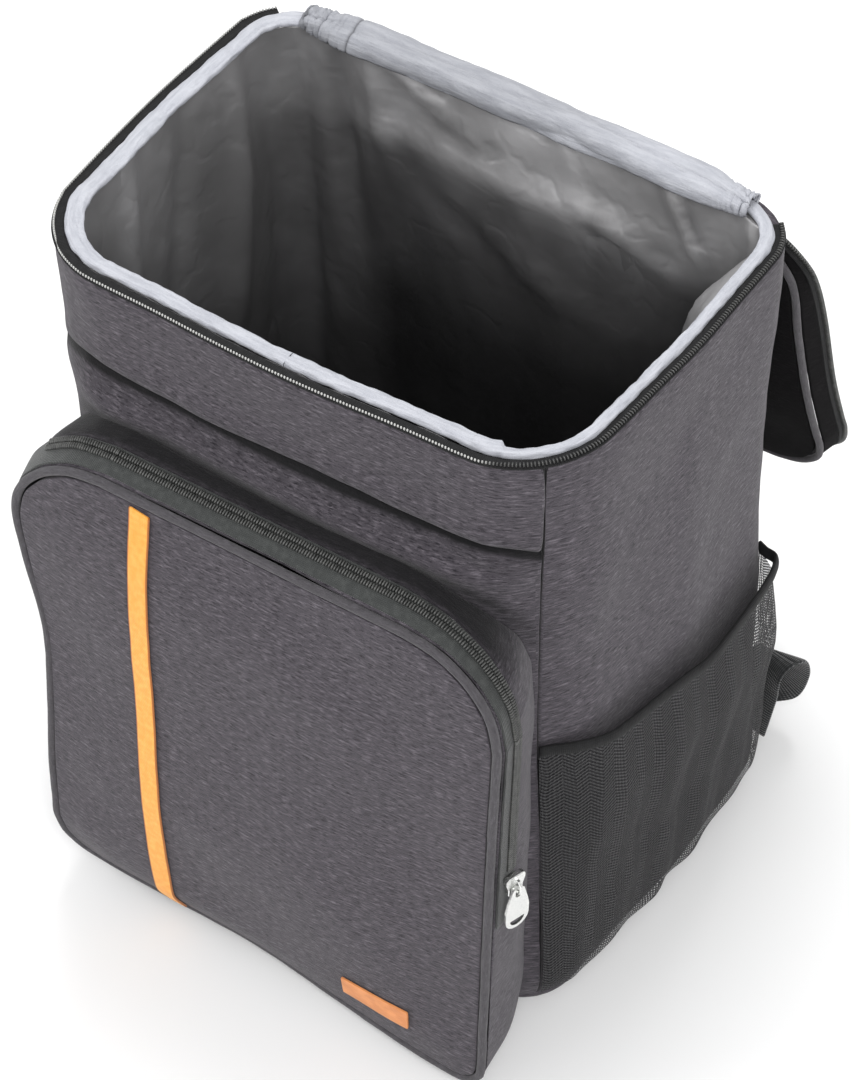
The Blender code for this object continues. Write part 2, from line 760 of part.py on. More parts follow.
def make_hinge():
    """The pale cloth that runs from the rim's rear edge over to the inside of the lid."""
    centre_y = body_back(BODY_HEIGHT) - RIM_TAPE_WIDTH - GAP - BINDING_RADIUS
    reach = BINDING_RADIUS + HINGE_CLOTH + HINGE_SLACK
    profile = []
    for angle in HINGE_WRAP_DEG:
        turn = math.radians(angle)
        profile.append((centre_y + reach * math.cos(turn), BODY_HEIGHT + BINDING_RISE + reach * math.sin(turn)))
    edge = HINGE_CLOTH + 2 * HINGE_SLACK
    profile.append((body_back(BODY_HEIGHT) + edge, BODY_HEIGHT + edge))
    depth = LID_PADDING + LINER_WALL + HINGE_CLOTH + 2 * HINGE_SLACK
    for along in (0.0, HINGE_END_DROP):
        face = lid_point(0, along, depth)
        profile.append((face.y, face.z))
    rows = []
    for i in range(HINGE_STEPS + 1):
        x = HINGE_WIDTH * (0.5 - i / HINGE_STEPS)
        rows.append([Vector((x, y, z)) for y, z in profile])
    sheet("hinge_flap", rows, HINGE_CLOTH, PALE)


# Front pocket


def panel_y(x, z):
    """The place of the pocket's front edge, which leans out towards its foot. At the left of the
    foot it is tucked back."""
    part = (z - POCKET_BOTTOM) / (POCKET_TOP - POCKET_BOTTOM)
    low = max(1 - (z - POCKET_BOTTOM) / POCKET_TUCK_HEIGHT, 0) ** 2
    leftward = min(max((POCKET_RIGHT - x) / POCKET_TUCK_SPAN, 0), 1) ** 2
    depth = mix(POCKET_BOTTOM_DEPTH, POCKET_TOP_DEPTH, part) - POCKET_TUCK * low * leftward
    return -BODY_DEPTH / 2 - depth


def pocket_outline(inset):
    """The edge of the pocket's front, as seen from the front."""
    radii = [radius - inset for radius in POCKET_RADII]
    left, right = POCKET_LEFT + inset, POCKET_RIGHT - inset
    low, high = POCKET_BOTTOM + inset, POCKET_TOP - inset
    outline = rounded_rectangle(left, right, low, high, radii, POCKET_OUTLINE_STEPS)
    width = POCKET_RIGHT - POCKET_LEFT
    for point in outline:
        edge = from_table(POCKET_EDGES, (point.y - POCKET_BOTTOM) / (POCKET_TOP - POCKET_BOTTOM))
        point.x += width * mix(edge.left, edge.right, (point.x - POCKET_LEFT) / width)
    return outline


def seam_outline(inset):
    """Where the pocket's side cloth is sewn to the front."""
    radii = [radius - inset for radius in POCKET_RADII]
    left, right = POCKET_SEAM_LEFT + inset, POCKET_SEAM_RIGHT - inset
    low, high = POCKET_SEAM_BOTTOM + inset, POCKET_SEAM_TOP - inset
    return rounded_rectangle(left, right, low, high, radii, POCKET_OUTLINE_STEPS)


def gusset_ends():
    """For each point of the pocket's outline: where the side cloth starts and where it ends."""
    pairs = []
    near = seam_outline(0.0), seam_outline(GUSSET_CLOTH)
    for outer, inner, front in zip(*near, pocket_outline(0.0)):
        start = min(body_front(outer.x, outer.y), body_front(inner.x, inner.y)) - GUSSET_SEAT
        end = panel_y(front.x, front.y) + PIPING_RADIUS + GAP
        pairs.append((start, end))
    return pairs


def gusset_row(part_at, inset):
    """A row round the pocket's side. part_at gives the share of the way from the seam for a depth."""
    row = []
    middle = Vector(((POCKET_LEFT + POCKET_RIGHT) / 2, (POCKET_TOP + POCKET_BOTTOM) / 2))
    for seam, front, (start, end) in zip(seam_outline(inset), pocket_outline(inset), gusset_ends()):
        part = part_at(start - end)
        point = seam.lerp(front, part)
        out = (point - middle).normalized()
        point += out * GUSSET_PUFF * math.sin(math.pi * part) * min((start - end) / POCKET_BOTTOM_DEPTH, 1)
        row.append(Vector((point.x, mix(start, end, part), point.y)))
    return row


def from_front(distance):
    return lambda depth: 1 - distance / depth


def pocket_face(x, z, rise):
    return Vector((x, panel_y(x, z) - rise, z))


def make_pocket():
    outer = [gusset_row(lambda depth, s=s: s, 0.0) for s in GUSSET_LADDER]
    inner = [gusset_row(lambda depth, s=s: s, GUSSET_CLOTH) for s in GUSSET_LADDER]
    slab("pocket_gusset", outer, inner, CHARCOAL, closed=True)
    piping = [pocket_face(p.x, p.y, 0.0) for p in pocket_outline(PIPING_RADIUS)]
    tube("pocket_piping", piping, PIPING_RADIUS, CHARCOAL, closed=True)
    return padded_panel(
        "pocket_panel",
        pocket_outline(2 * PIPING_RADIUS + GAP),
        lambda x, z, rise: pocket_face(x, z, rise + PANEL_CLOTH / 2),
        POCKET_PANEL_RINGS,
        POCKET_CROWN,
        PANEL_CLOTH,
        CHARCOAL,
    )


def make_pocket_zip():
    """The tape from the pocket's top left corner, along the top and down the right side, and the
    teeth on it as far as the slider."""
    outline = pocket_outline(0.0)
    arc, side, across = POCKET_OUTLINE_STEPS
    left_corner = 3 * arc + side + across

    def rows(near, far, count, foot, end, inset):
        start = place_at_height(outline, foot)
        distances = [mix(far, near, i / (count - 1)) for i in range(count)]
        return [stretch(gusset_row(from_front(d), inset), start, end) for d in distances]

    slider_foot = SLIDER_HEIGHT - SLIDER_LENGTH / 2
    tape_out = -GAP - TAPE_THICKNESS
    foot = slider_foot - POCKET_TAPE_TAIL
    outer = rows(GAP, POCKET_TAPE_WIDTH, 4, foot, left_corner, tape_out)
    inner = rows(GAP, POCKET_TAPE_WIDTH, 4, foot, left_corner, -GAP)
    slab("pocket_zip_tape", outer, inner, BLACK)
    near = POCKET_TEETH_OFFSET - POCKET_TEETH_WIDTH / 2
    far = POCKET_TEETH_OFFSET + POCKET_TEETH_WIDTH / 2
    foot = SLIDER_HEIGHT + SLIDER_LENGTH / 2 + 2 * GAP
    end = left_corner - POCKET_TEETH_SHORT
    outer = rows(near, far, 2, foot, end, tape_out - GAP - TEETH_HEIGHT)
    inner = rows(near, far, 2, foot, end, tape_out - GAP)
    slab("pocket_zip_teeth", outer, inner, BLACK)


def face_finder(panel):
    """A function that gives the place of a finished panel's front face at a point."""
    bpy.context.view_layer.update()
    tree = BVHTree.FromObject(panel, bpy.context.evaluated_depsgraph_get())

    def find(x, z):
        return tree.ray_cast(Vector((x, -1, z)), Vector((0, 1, 0)))[0].y

    return find


def make_trim(panel):
    """The bright webbing stripe and the bare patch on the pocket's panel."""
    find = face_finder(panel)
    margin = 2 * PIPING_RADIUS + 3 * GAP
    rows = []
    for i in range(STRIPE_STEPS + 1):
        z = mix(POCKET_BOTTOM + margin, POCKET_TOP - margin, i / STRIPE_STEPS)
        row = []
        for x in (STRIPE_X - STRIPE_WIDTH / 2, STRIPE_X + STRIPE_WIDTH / 2):
            row.append(Vector((x, find(x, z) - TRIM_LIFT - STRIPE_THICKNESS, z)))
        rows.append(row)
    sheet("stripe", rows, STRIPE_THICKNESS, ORANGE)
    rows = []
    for k in (-0.5, 0.5):
        z = PATCH_CENTRE_Z + PATCH_HEIGHT * k
        xs = [PATCH_CENTRE_X + PATCH_WIDTH * (i / 4 - 0.5) for i in range(5)]
        rows.append([Vector((x, find(x, z) - TRIM_LIFT - PATCH_THICKNESS, z)) for x in xs])
    sheet("label_patch", rows, PATCH_THICKNESS, TAN)


# Slider and pull tab


def slider_frame():
    """The slider's own axes on the zip: along it downwards, across it, and out from the tape."""
    row = gusset_row(from_front(POCKET_TEETH_OFFSET), -2 * GAP - TAPE_THICKNESS)
    outline = pocket_outline(0.0)
    place = place_at_height(outline, SLIDER_HEIGHT)
    below = stretch(row, place - 0.2, place)
    low, seat = below[0], below[-1]
    down = (low - seat).normalized()
    toe = math.radians(SLIDER_TOE_DEG)
    out = Vector((math.cos(toe), -math.sin(toe), 0.0))
    out = (out - down * out.dot(down)).normalized()
    turn = Matrix((down, out.cross(down).normalized(), out)).transposed().to_4x4()
    return Matrix.Translation(seat + out * SLIDER_SEAT) @ turn


def flat_outline(name, loops, thickness, material, frame, rise):
    """A flat plate from closed outlines, the first its edge and the others its holes."""
    curve = bpy.data.curves.new(name, "CURVE")
    curve.dimensions = "2D"
    curve.fill_mode = "BOTH"
    curve.extrude = thickness / 2
    for loop in loops:
        spline = curve.splines.new("POLY")
        spline.points.add(len(loop) - 1)
        for slot, (u, v) in zip(spline.points, loop):
            slot.co = (u, v, 0, 1)
        spline.use_cyclic_u = True
    curve.materials.append(material)
    thing = bpy.data.objects.new(name, curve)
    PARTS.objects.link(thing)
    thing.matrix_world = frame @ Matrix.Translation((0, 0, rise))
    return thing


def as_mesh(thing):
    """The same piece as a mesh, its caps welded, in the curve's place."""
    bpy.context.view_layer.update()
    graph = bpy.context.evaluated_depsgraph_get()
    mesh = bpy.data.meshes.new_from_object(thing.evaluated_get(graph))
    bm = bmesh.new()
    bm.from_mesh(mesh)
    bmesh.ops.remove_doubles(bm, verts=bm.verts, dist=1e-6)
    bmesh.ops.recalc_face_normals(bm, faces=bm.faces)
    bm.to_mesh(mesh)
    bm.free()
    name = thing.name
    place = thing.matrix_world.copy()
    curve = thing.data
    bpy.data.objects.remove(thing, do_unlink=True)
    bpy.data.curves.remove(curve)
    copy = bpy.data.objects.new(name, mesh)
    PARTS.objects.link(copy)
    copy.matrix_world = place
    return copy


def make_slider(frame):
    """The slider: a waisted block with a wire bridge over it for the pull tab."""
    half = SLIDER_LENGTH / 2
    shoulder = SLIDER_WIDTH / 2
    waist = SLIDER_WAIST / 2
    edge = [
        (-half, shoulder * 0.70),
        (-half * 0.80, shoulder),
        (-half * 0.35, shoulder),
        (half * 0.20, waist),
        (half * 0.85, waist),
        (half, waist * 0.75),
    ]
    loop = edge + [(u, -v) for u, v in reversed(edge)]
    body = as_mesh(flat_outline("pocket_zip_slider", [loop], SLIDER_THICKNESS, STEEL, frame, SLIDER_THICKNESS / 2))
    round_edges = body.modifiers.new("edges", "BEVEL")
    round_edges.width = SLIDER_EDGE_ROUND
    round_edges.segments = 1
    round_edges.limit_method = "ANGLE"
    top = SLIDER_THICKNESS
    arch = [
        (-BRIDGE_HALF_LENGTH, -BRIDGE_FOOT_SUNK),
        (-BRIDGE_HALF_LENGTH, BRIDGE_RISE * 0.55),
        (-BRIDGE_HALF_LENGTH * 0.55, BRIDGE_RISE),
        (BRIDGE_HALF_LENGTH * 0.55, BRIDGE_RISE),
        (BRIDGE_HALF_LENGTH, BRIDGE_RISE * 0.55),
        (BRIDGE_HALF_LENGTH, -BRIDGE_FOOT_SUNK),
    ]
    bridge = tube(
        "slider_bridge", [Vector((u, 0, top + w)) for u, w in arch], BRIDGE_WIRE_RADIUS, STEEL, sides=8
    )
    bridge.matrix_world = frame
    bridge = as_mesh(bridge)
    PARTS.objects.unlink(bridge)
    CUTTERS.objects.link(bridge)
    bridge.hide_render = True
    bridge.display_type = "WIRE"
    join = body.modifiers.new("bridge", "BOOLEAN")
    join.operation = "UNION"
    join.solver = "EXACT"
    join.object = bridge


def make_pull(frame):
    """The pull tab: a teardrop plate with an eye round the bridge and a half-moon slot."""
    eye = PULL_EYE_WIDTH / 2
    half = PULL_WIDTH / 2
    start = -PULL_BAR / 2
    outline = [(start, -eye * 0.7), (start, eye * 0.7), (start + PULL_SHOULDER, eye)]
    outline += [(PULL_LENGTH * 0.34, half * 0.86), (PULL_LENGTH * 0.52, half)]
    tail = PULL_LENGTH - half + start
    for i in range(PULL_ARC_STEPS + 1):
        angle = math.radians(90 - 180 * i / PULL_ARC_STEPS)
        outline.append((tail + half * math.cos(angle), half * math.sin(angle)))
    outline += [(PULL_LENGTH * 0.52, -half), (PULL_LENGTH * 0.34, -half * 0.86), (start + PULL_SHOULDER, -eye)]
    hole_start = PULL_BAR / 2
    hole_end = hole_start + PULL_EYE_LENGTH
    width = PULL_EYE_HALF_WIDTH
    hole = [
        (hole_start, -width),
        (hole_start, width),
        (hole_end - width * 0.7, width),
        (hole_end, width * 0.4),
        (hole_end, -width * 0.4),
        (hole_end - width * 0.7, -width),
    ]
    slot_radius = half * 0.62
    slot = []
    for i in range(PULL_ARC_STEPS + 1):
        angle = math.radians(90 - 180 * i / PULL_ARC_STEPS)
        slot.append((tail + PULL_SLOT_SHIFT + slot_radius * math.cos(angle), slot_radius * math.sin(angle)))
    place = frame @ Matrix.Translation((PULL_PIVOT_ALONG, 0, SLIDER_THICKNESS + PULL_PIVOT_RISE))
    tab = as_mesh(flat_outline("pocket_zip_pull", [outline, hole, slot], PULL_THICKNESS, STEEL, place, 0.0))
    return tab


# Side pockets of net


def net_surface(side, along, up, proud=0.0):
    """A point on a net: along it from the front corner to the rear one, and up from its foot."""
    hem = mix(NET_HEM_FRONT, NET_HEM_BACK, along**1.5)
    z = mix(NET_BOTTOM, hem, up)
    loop = body_side(side, z, -NET_CLEARANCE - NET_THICKNESS - proud)
    if side == LEFT:
        loop.reverse()
    reach = along * (len(loop) - 1)
    k = min(int(reach), len(loop) - 2)
    lift = from_table(NET_BULGE, along).out * from_table(NET_PROFILE, up).share
    angle = math.radians(mix(-45, 45, along))
    sign = -1 if side == LEFT else 1
    return loop[k].lerp(loop[k + 1], reach - k) + Vector((sign * math.cos(angle), math.sin(angle), 0)) * lift


def lattice(count):
    """Edges of the strands and gaps across a net, as shares from 0 to 1."""
    places = [0.0]
    pitch = 1 / (count + NET_STRAND)
    for i in range(count):
        places.append((i + NET_STRAND) * pitch)
        places.append((i + 1) * pitch)
    return places + [1.0]


def make_net(name, side):
    """A coarse net: a grid whose gaps are left open, then given its thickness."""
    bm = bmesh.new()
    rows = [[net_surface(side, u, v) for u in lattice(NET_COLUMNS)] for v in lattice(NET_ROWS)]
    if side == LEFT:
        rows = [row[::-1] for row in rows]
    grid = [[bm.verts.new(p) for p in row] for row in rows]
    for j in range(len(grid) - 1):
        for i in range(len(grid[0]) - 1):
            if i % 2 and j % 2:
                continue
            bm.faces.new((grid[j][i], grid[j][i + 1], grid[j + 1][i + 1], grid[j + 1][i]))
    thing = finish(name, mesh_from(bm, name), BLACK)
    wall = thing.modifiers.new("thickness", "SOLIDIFY")
    wall.thickness = NET_THICKNESS
    wall.offset = -1


def make_hem(name, side):
    proud = HEM_RADIUS - NET_THICKNESS
    points = [net_surface(side, i / HEM_STEPS, 1.0, proud) for i in range(HEM_STEPS + 1)]
    for point in points:
        point.z += HEM_RADIUS + GAP
    tube(name, points, HEM_RADIUS, BLACK)


# Shoulder straps


def strap_place(sign, station):
    """A strap station's centre, on the body's back or standing off it."""
    half = BODY_WIDTH / 2
    z = station.height * BODY_HEIGHT
    return Vector((sign * station.across * half, body_back(z) + STRAP_THICKNESS + GAP + station.stand_off, z))


def across_strap(path, k):
    """The direction across a strap that lies on the back, square to its path."""
    ahead = path[min(k + 1, len(path) - 1)] - path[max(k - 1, 0)]
    return ahead.cross(Vector((0, 1, 0))).normalized()


def make_strap(name, sign):
    """A padded strap, thin where it is sewn to the back and standing off it lower down."""
    path = [strap_place(sign, station) for station in STRAP_STATIONS]
    rows = []
    for k, station in enumerate(STRAP_STATIONS):
        row = []
        for share in (-1.0, -0.6, 0.6, 1.0):
            rise = Vector((0, -STRAP_CROWN * abs(share) ** 4, 0))
            row.append(path[k] + across_strap(path, k) * share * station.width / 2 + rise)
        rows.append(row)
    sheet(name, rows, STRAP_THICKNESS - STRAP_CROWN, CHARCOAL)


def buckle_frame(sign):
    """The buckle's axes, along the strap, across it and out from it, just past the strap's end."""
    path = [strap_place(sign, station) for station in STRAP_STATIONS]
    down = (path[-1] - path[-2]).normalized()
    across = across_strap(path, len(path) - 1)
    centre = path[-1] + down * (BUCKLE_LENGTH / 2 + 2 * GAP) - Vector((0, STRAP_THICKNESS / 2, 0))
    turn = Matrix((down, across, down.cross(across))).transposed().to_4x4()
    return Matrix.Translation(centre) @ turn


def make_webbing(name, sign):
    """The strap's lower webbing, a loop that stands out behind the pack's rear corner. It leaves the
    buckle flat against the back and turns on edge as it goes round."""
    frame = buckle_frame(sign)
    start = frame @ Vector((BUCKLE_LENGTH / 2 + 2 * GAP, 0, 0))
    path = [start]
    for station in WEBBING_STATIONS:
        x = sign * station.across * BODY_WIDTH / 2
        path.append(Vector((x, station.depth * BODY_DEPTH / 2, station.height * BODY_HEIGHT)))
    across = frame.to_3x3() @ Vector((0, 1, 0))
    widths = [across * (1 if across.x * sign > 0 else -1)]
    for station in WEBBING_STATIONS:
        spin, lift = math.radians(station.spin_deg), math.radians(station.lift_deg)
        level = math.cos(lift)
        widths.append(Vector((sign * math.cos(spin) * level, math.sin(spin) * level, math.sin(lift))))
    low, high = [], []
    for k, (point, width) in enumerate(zip(path, widths)):
        ahead = (path[min(k + 1, len(path) - 1)] - path[max(k - 1, 0)]).normalized()
        if k == 0:
            ahead = frame.to_3x3() @ Vector((1, 0, 0))
        edge = (width - ahead * width.dot(ahead)).normalized() * WEBBING_WIDTH / 2
        low.append(point - edge * sign)
        high.append(point + edge * sign)
    sheet(name, [low, high], WEBBING_THICKNESS, BLACK)


def make_buckle(name, sign):
    """A plain two-slot buckle between a strap's end and its webbing."""
    half_length, half_width = BUCKLE_LENGTH / 2, BUCKLE_WIDTH / 2

    def box(u0, u1, v0, v1):
        return [(u0, v0), (u1, v0), (u1, v1), (u0, v1)]

    loops = [box(-half_length, half_length, -half_width, half_width)]
    for u in (-half_length / 2, half_length / 2):
        slot_half = WEBBING_WIDTH / 2 + BUCKLE_SLOT_SPARE
        loops.append(box(u - BUCKLE_SLOT / 2, u + BUCKLE_SLOT / 2, -slot_half, slot_half))
    buckle = as_mesh(flat_outline(name, loops, BUCKLE_THICKNESS, BLACK, buckle_frame(sign), 0.0))
    edges = buckle.modifiers.new("edges", "BEVEL")
    edges.width = BUCKLE_CORNER
    edges.segments = 1
    edges.limit_method = "ANGLE"


make_base()
make_body()
make_liner()
make_rim()
make_lid()
make_hinge()
PANEL = make_pocket()
make_pocket_zip()
make_trim(PANEL)
FRAME = slider_frame()
make_slider(FRAME)
make_pull(FRAME)
for side_name, side, sign in (("right", RIGHT, 1), ("left", LEFT, -1)):
    make_net(f"net_pocket_{side_name}", side)
    make_hem(f"net_hem_{side_name}", side)
    make_strap(f"shoulder_strap_{side_name}", sign)
    make_buckle(f"strap_buckle_{side_name}", sign)
    make_webbing(f"strap_webbing_{side_name}", sign)
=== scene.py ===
# %% [markdown]
# # An open cooler backpack
# We dress a plain CAD model of a cooler backpack until it looks sewn. The CAD model is a fixed frame:
# it says where every panel, zip and strap is. Each step below takes one kind of piece, says what it is
# on the real pack, and makes it out of cloth, foil, nylon or metal. All lengths are in metres, the
# front of the pack faces -Y and up is +Z.

# %% Load the frame
import itertools
import math

import bmesh
import bpy
from mathutils import Matrix, Vector, noise


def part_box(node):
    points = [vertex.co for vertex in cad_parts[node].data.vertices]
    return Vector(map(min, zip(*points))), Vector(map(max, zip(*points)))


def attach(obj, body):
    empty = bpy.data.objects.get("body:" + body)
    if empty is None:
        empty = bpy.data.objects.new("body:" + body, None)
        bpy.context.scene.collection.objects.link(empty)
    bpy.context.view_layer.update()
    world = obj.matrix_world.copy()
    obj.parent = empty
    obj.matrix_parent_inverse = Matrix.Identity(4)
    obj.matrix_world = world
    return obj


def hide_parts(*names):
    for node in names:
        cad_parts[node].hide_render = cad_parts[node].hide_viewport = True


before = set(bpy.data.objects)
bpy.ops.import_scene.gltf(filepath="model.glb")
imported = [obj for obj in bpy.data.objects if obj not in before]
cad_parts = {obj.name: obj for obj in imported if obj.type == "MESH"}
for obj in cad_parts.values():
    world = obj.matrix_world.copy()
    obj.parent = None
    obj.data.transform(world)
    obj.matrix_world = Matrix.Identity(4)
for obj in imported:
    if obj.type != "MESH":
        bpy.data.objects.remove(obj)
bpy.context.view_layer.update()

PACK = "bag"

# %% [markdown]
# ## Camera
# A product photograph of a bag is often taken from above, with a long lens, so that the mouth of the
# bag and its front both show. We put the camera where such a picture is taken from: to the right of
# the front and well above it. A long lens keeps the upright edges nearly parallel.

# %% Camera
CAMERA_PLACE = (0.628004252, -0.902118326, 1.43006118)
CAMERA_TURN = (0.719281932, 0.0187197663, 0.584676222)
CAMERA_LENS = 120.0
SENSOR = 36.0

lens = bpy.data.cameras.new("camera")
lens.lens = CAMERA_LENS
lens.sensor_width = SENSOR
camera = bpy.data.objects.new("camera", lens)
camera.location = CAMERA_PLACE
camera.rotation_euler = CAMERA_TURN
bpy.context.scene.collection.objects.link(camera)
bpy.context.scene.camera = camera
print("The camera stands", round(Vector(CAMERA_PLACE).length, 2), "m from the middle of the base")

# %% [markdown]
# ## Reading the frame
# A CAD solid arrives as loose triangles. To bend a piece of cloth round it we need more order: the
# same mesh with its corners joined, and for a long thin piece, such as a zip, the line that it
# follows. `solid_copy` joins the corners up again. `rings` walks along a long solid from one end, one
# cross-section at a time, and `Rail` turns those cross-sections into a smooth line with a direction
# across the piece and a direction out of it.

# %% Copies and rails
MERGE = 1e-5
SAME_PLANE = math.radians(50)
ANY_SHAPE = math.radians(170)
FINER = 4


def solid_copy(node):
    """A copy of a CAD node's mesh, its corners merged and its triangles joined in pairs."""
    bm = bmesh.new()
    bm.from_mesh(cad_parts[node].data)
    bmesh.ops.remove_doubles(bm, verts=bm.verts, dist=MERGE)
    bmesh.ops.join_triangles(
        bm, faces=bm.faces, angle_face_threshold=SAME_PLANE, angle_shape_threshold=ANY_SHAPE
    )
    return bm


def rings(node, start, heading, size):
    """The cross-sections of a long solid, in order. Each is a list of `size` points."""
    bm = solid_copy(node)
    near = sorted(bm.verts, key=lambda v: (v.co - Vector(start)).length)
    bm.verts.index_update()
    ring = near[:size]
    way = Vector(heading)
    found = []
    seen = set()
    while ring:
        found.append([v.co.copy() for v in ring])
        seen.update(ring)
        ahead = {e.other_vert(v) for v in ring for e in v.link_edges} - seen
        if len(found) == 1:
            middle = sum((v.co for v in ring), Vector()) / size
            ahead = {o for o in ahead if (o.co - middle).dot(way) > 0}
        if len(ahead) != size:
            break
        orders = itertools.permutations(sorted(ahead, key=lambda o: o.index))
        ring = min(orders, key=lambda order: sum((o.co - v.co).length for o, v in zip(order, ring)))
    bm.free()
    print(node, "has", len(found), "cross-sections")
    return found


def far_end(node, way):
    """The point of a solid that lies furthest one way."""
    points = [v.co.copy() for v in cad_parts[node].data.vertices]
    return max(points, key=lambda p: p.dot(Vector(way)))


def bend(a, b, c, d, t):
    """A point part of the way from b to c, on a smooth line through a, b, c and d."""
    return (2 * b + (c - a) * t + (2 * a - 5 * b + 4 * c - d) * t**2 + (3 * b - a - 3 * c + d) * t**3) / 2


def spline(points, closed, pace):
    """Points at an even pace on a smooth line through some others, and its length."""
    count = len(points)
    fine = []
    spans = count if closed else count - 1
    for k in range(spans):
        places = [(k + i) % count if closed else min(max(k + i, 0), count - 1) for i in (-1, 0, 1, 2)]
        near = [points[i] for i in places]
        parts = max(int((near[2] - near[1]).length / pace * FINER), 2)
        fine += [bend(*near, j / parts) for j in range(parts)]
    fine.append(points[0].copy() if closed else points[-1].copy())
    lengths = [0.0]
    for a, b in zip(fine, fine[1:]):
        lengths.append(lengths[-1] + (b - a).length)
    total = lengths[-1]
    steps = max(round(total / pace), 2)
    even = []
    k = 0
    for i in range(steps + 1):
        s = total * i / steps
        while k < len(lengths) - 2 and lengths[k + 1] < s:
            k += 1
        gap = lengths[k + 1] - lengths[k]
        even.append(fine[k].lerp(fine[k + 1], (s - lengths[k]) / gap if gap else 0))
    return even, total


class Rail:
    """A smooth line with a direction across it and one out of it at every point."""

    def __init__(self, centres, across, pace, closed=False, away_from=None):
        self.closed = closed
        self.points, self.length = spline(centres, closed, pace)
        sides, _ = spline([c + a for c, a in zip(centres, across)], closed, pace)
        self.along, self.across, self.out = [], [], []
        last = len(self.points) - 1
        for i, point in enumerate(self.points):
            before, after = max(i - 1, 0), min(i + 1, last)
            if closed and i in (0, last):
                before, after = last - 1, 1
            ahead = (self.points[after] - self.points[before]).normalized()
            j = round(i / last * (len(sides) - 1))
            side = sides[j] - point
            side = (side - ahead * side.dot(ahead)).normalized()
            out = ahead.cross(side)
            if away_from is not None and out.dot(point - Vector(away_from)) < 0:
                out = -out
            self.along.append(ahead)
            self.across.append(side)
            self.out.append(out)


def middle_of(ring):
    return sum(ring, Vector()) / len(ring)


print("The back wall ends at", far_end("back_panel", (0, 1, 0)))

# %% [markdown]
# ## Making meshes
# Three ways of making cloth cover nearly every piece here.
#
# 1. `strip` sweeps a section along a rail: piping, bindings, tapes, webbing. It starts as a flat grid,
#    and every point of the grid is then set on the rail. Because it started flat, its UV map is the
#    cloth before it was sewn, in metres, so a weave keeps its real size.
# 2. `soft_copy` takes a CAD panel, cuts it finely and rounds it, as padding does.
# 3. `press` pushes the points of a finished mesh about, to make the dents, creases and puckers that
#    a simulation or a sculptor would.

# %% Making meshes
SHARP = math.radians(55)


def keep(name, bm, material, node):
    """Finish a bmesh as a named piece that rides on the pack, and hide what it stands for."""
    mesh = bpy.data.meshes.new(name)
    bm.to_mesh(mesh)
    bm.free()
    piece = bpy.data.objects.new(name, mesh)
    bpy.context.scene.collection.objects.link(piece)
    mesh.materials.append(material)
    mesh.shade_smooth()
    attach(piece, PACK)
    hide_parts(node)
    print(name, "has", len(mesh.polygons), "faces")
    return piece


def grid(long_steps, cross_steps, place, cloth):
    """A grid with a UV map in metres, each of its points then put at place(along, across)."""
    bm = bmesh.new()
    uv = bm.loops.layers.uv.new("cloth")
    bmesh.ops.create_grid(bm, x_segments=long_steps, y_segments=cross_steps, size=0.5)
    for face in bm.faces:
        for loop in face.loops:
            loop[uv].uv = cloth(loop.vert.co.x + 0.5, loop.vert.co.y + 0.5)
    for vert in bm.verts:
        vert.co = place(vert.co.x + 0.5, vert.co.y + 0.5)
    return bm


def strip(rail, section, cross_steps):
    """A section swept along a rail. section(s, v) gives how far across and how far out a point is,
    s metres along and v of the way round."""
    last = len(rail.points) - 1

    def place(u, v):
        k = min(int(u * last + 1e-6), last - 1)
        part = u * last - k
        across, out = section(u * rail.length, v)
        side = rail.across[k].lerp(rail.across[k + 1], part)
        proud = rail.out[k].lerp(rail.out[k + 1], part)
        return rail.points[k].lerp(rail.points[k + 1], part) + side * across + proud * out

    def cloth(u, v):
        across, out = section(u * rail.length, v)
        return (u * rail.length, across + 0.5 * out)

    bm = grid(last, cross_steps, place, cloth)
    bmesh.ops.remove_doubles(bm, verts=bm.verts, dist=MERGE)
    if not rail.closed:
        bmesh.ops.holes_fill(bm, edges=[e for e in bm.edges if e.is_boundary], sides=0)
    bmesh.ops.recalc_face_normals(bm, faces=bm.faces)
    return bm


def round_section(across, out, squareness):
    """The section of a band: an ellipse at a squareness of 1, and squarer below that."""

    def section(s, v):
        turn = (math.cos(2 * math.pi * v), math.sin(2 * math.pi * v))
        return tuple(
            size * math.copysign(abs(part) ** squareness, part) for size, part in zip((across, out), turn)
        )

    return section


def lay_cloth(bm):
    """A UV map in metres: each face gets it from the side that it faces most."""
    uv = bm.loops.layers.uv.new("cloth")
    for face in bm.faces:
        facing = [abs(n) for n in face.normal]
        if facing[1] >= max(facing[0], facing[2]):
            axes = (0, 2)
        else:
            axes = (1, 2) if facing[0] >= facing[2] else (0, 1)
        for loop in face.loops:
            loop[uv].uv = [loop.vert.co[k] for k in axes]


def rounded(bm, levels, crease):
    """A mesh subdivided and rounded, with its sharp edges held by a crease."""
    hold = bm.edges.layers.float.new("crease_edge")
    for edge in bm.edges:
        if len(edge.link_faces) == 2 and edge.calc_face_angle() > SHARP:
            edge[hold] = crease
    mesh = bpy.data.meshes.new("rounding")
    bm.to_mesh(mesh)
    bm.free()
    thing = bpy.data.objects.new("rounding", mesh)
    bpy.context.scene.collection.objects.link(thing)
    finer = thing.modifiers.new("finer", "SUBSURF")
    finer.levels = levels
    finer.render_levels = levels
    graph = bpy.context.evaluated_depsgraph_get()
    fine = bmesh.new()
    fine.from_mesh(thing.evaluated_get(graph).to_mesh())
    bpy.data.objects.remove(thing, do_unlink=True)
    bpy.data.meshes.remove(mesh)
    return fine


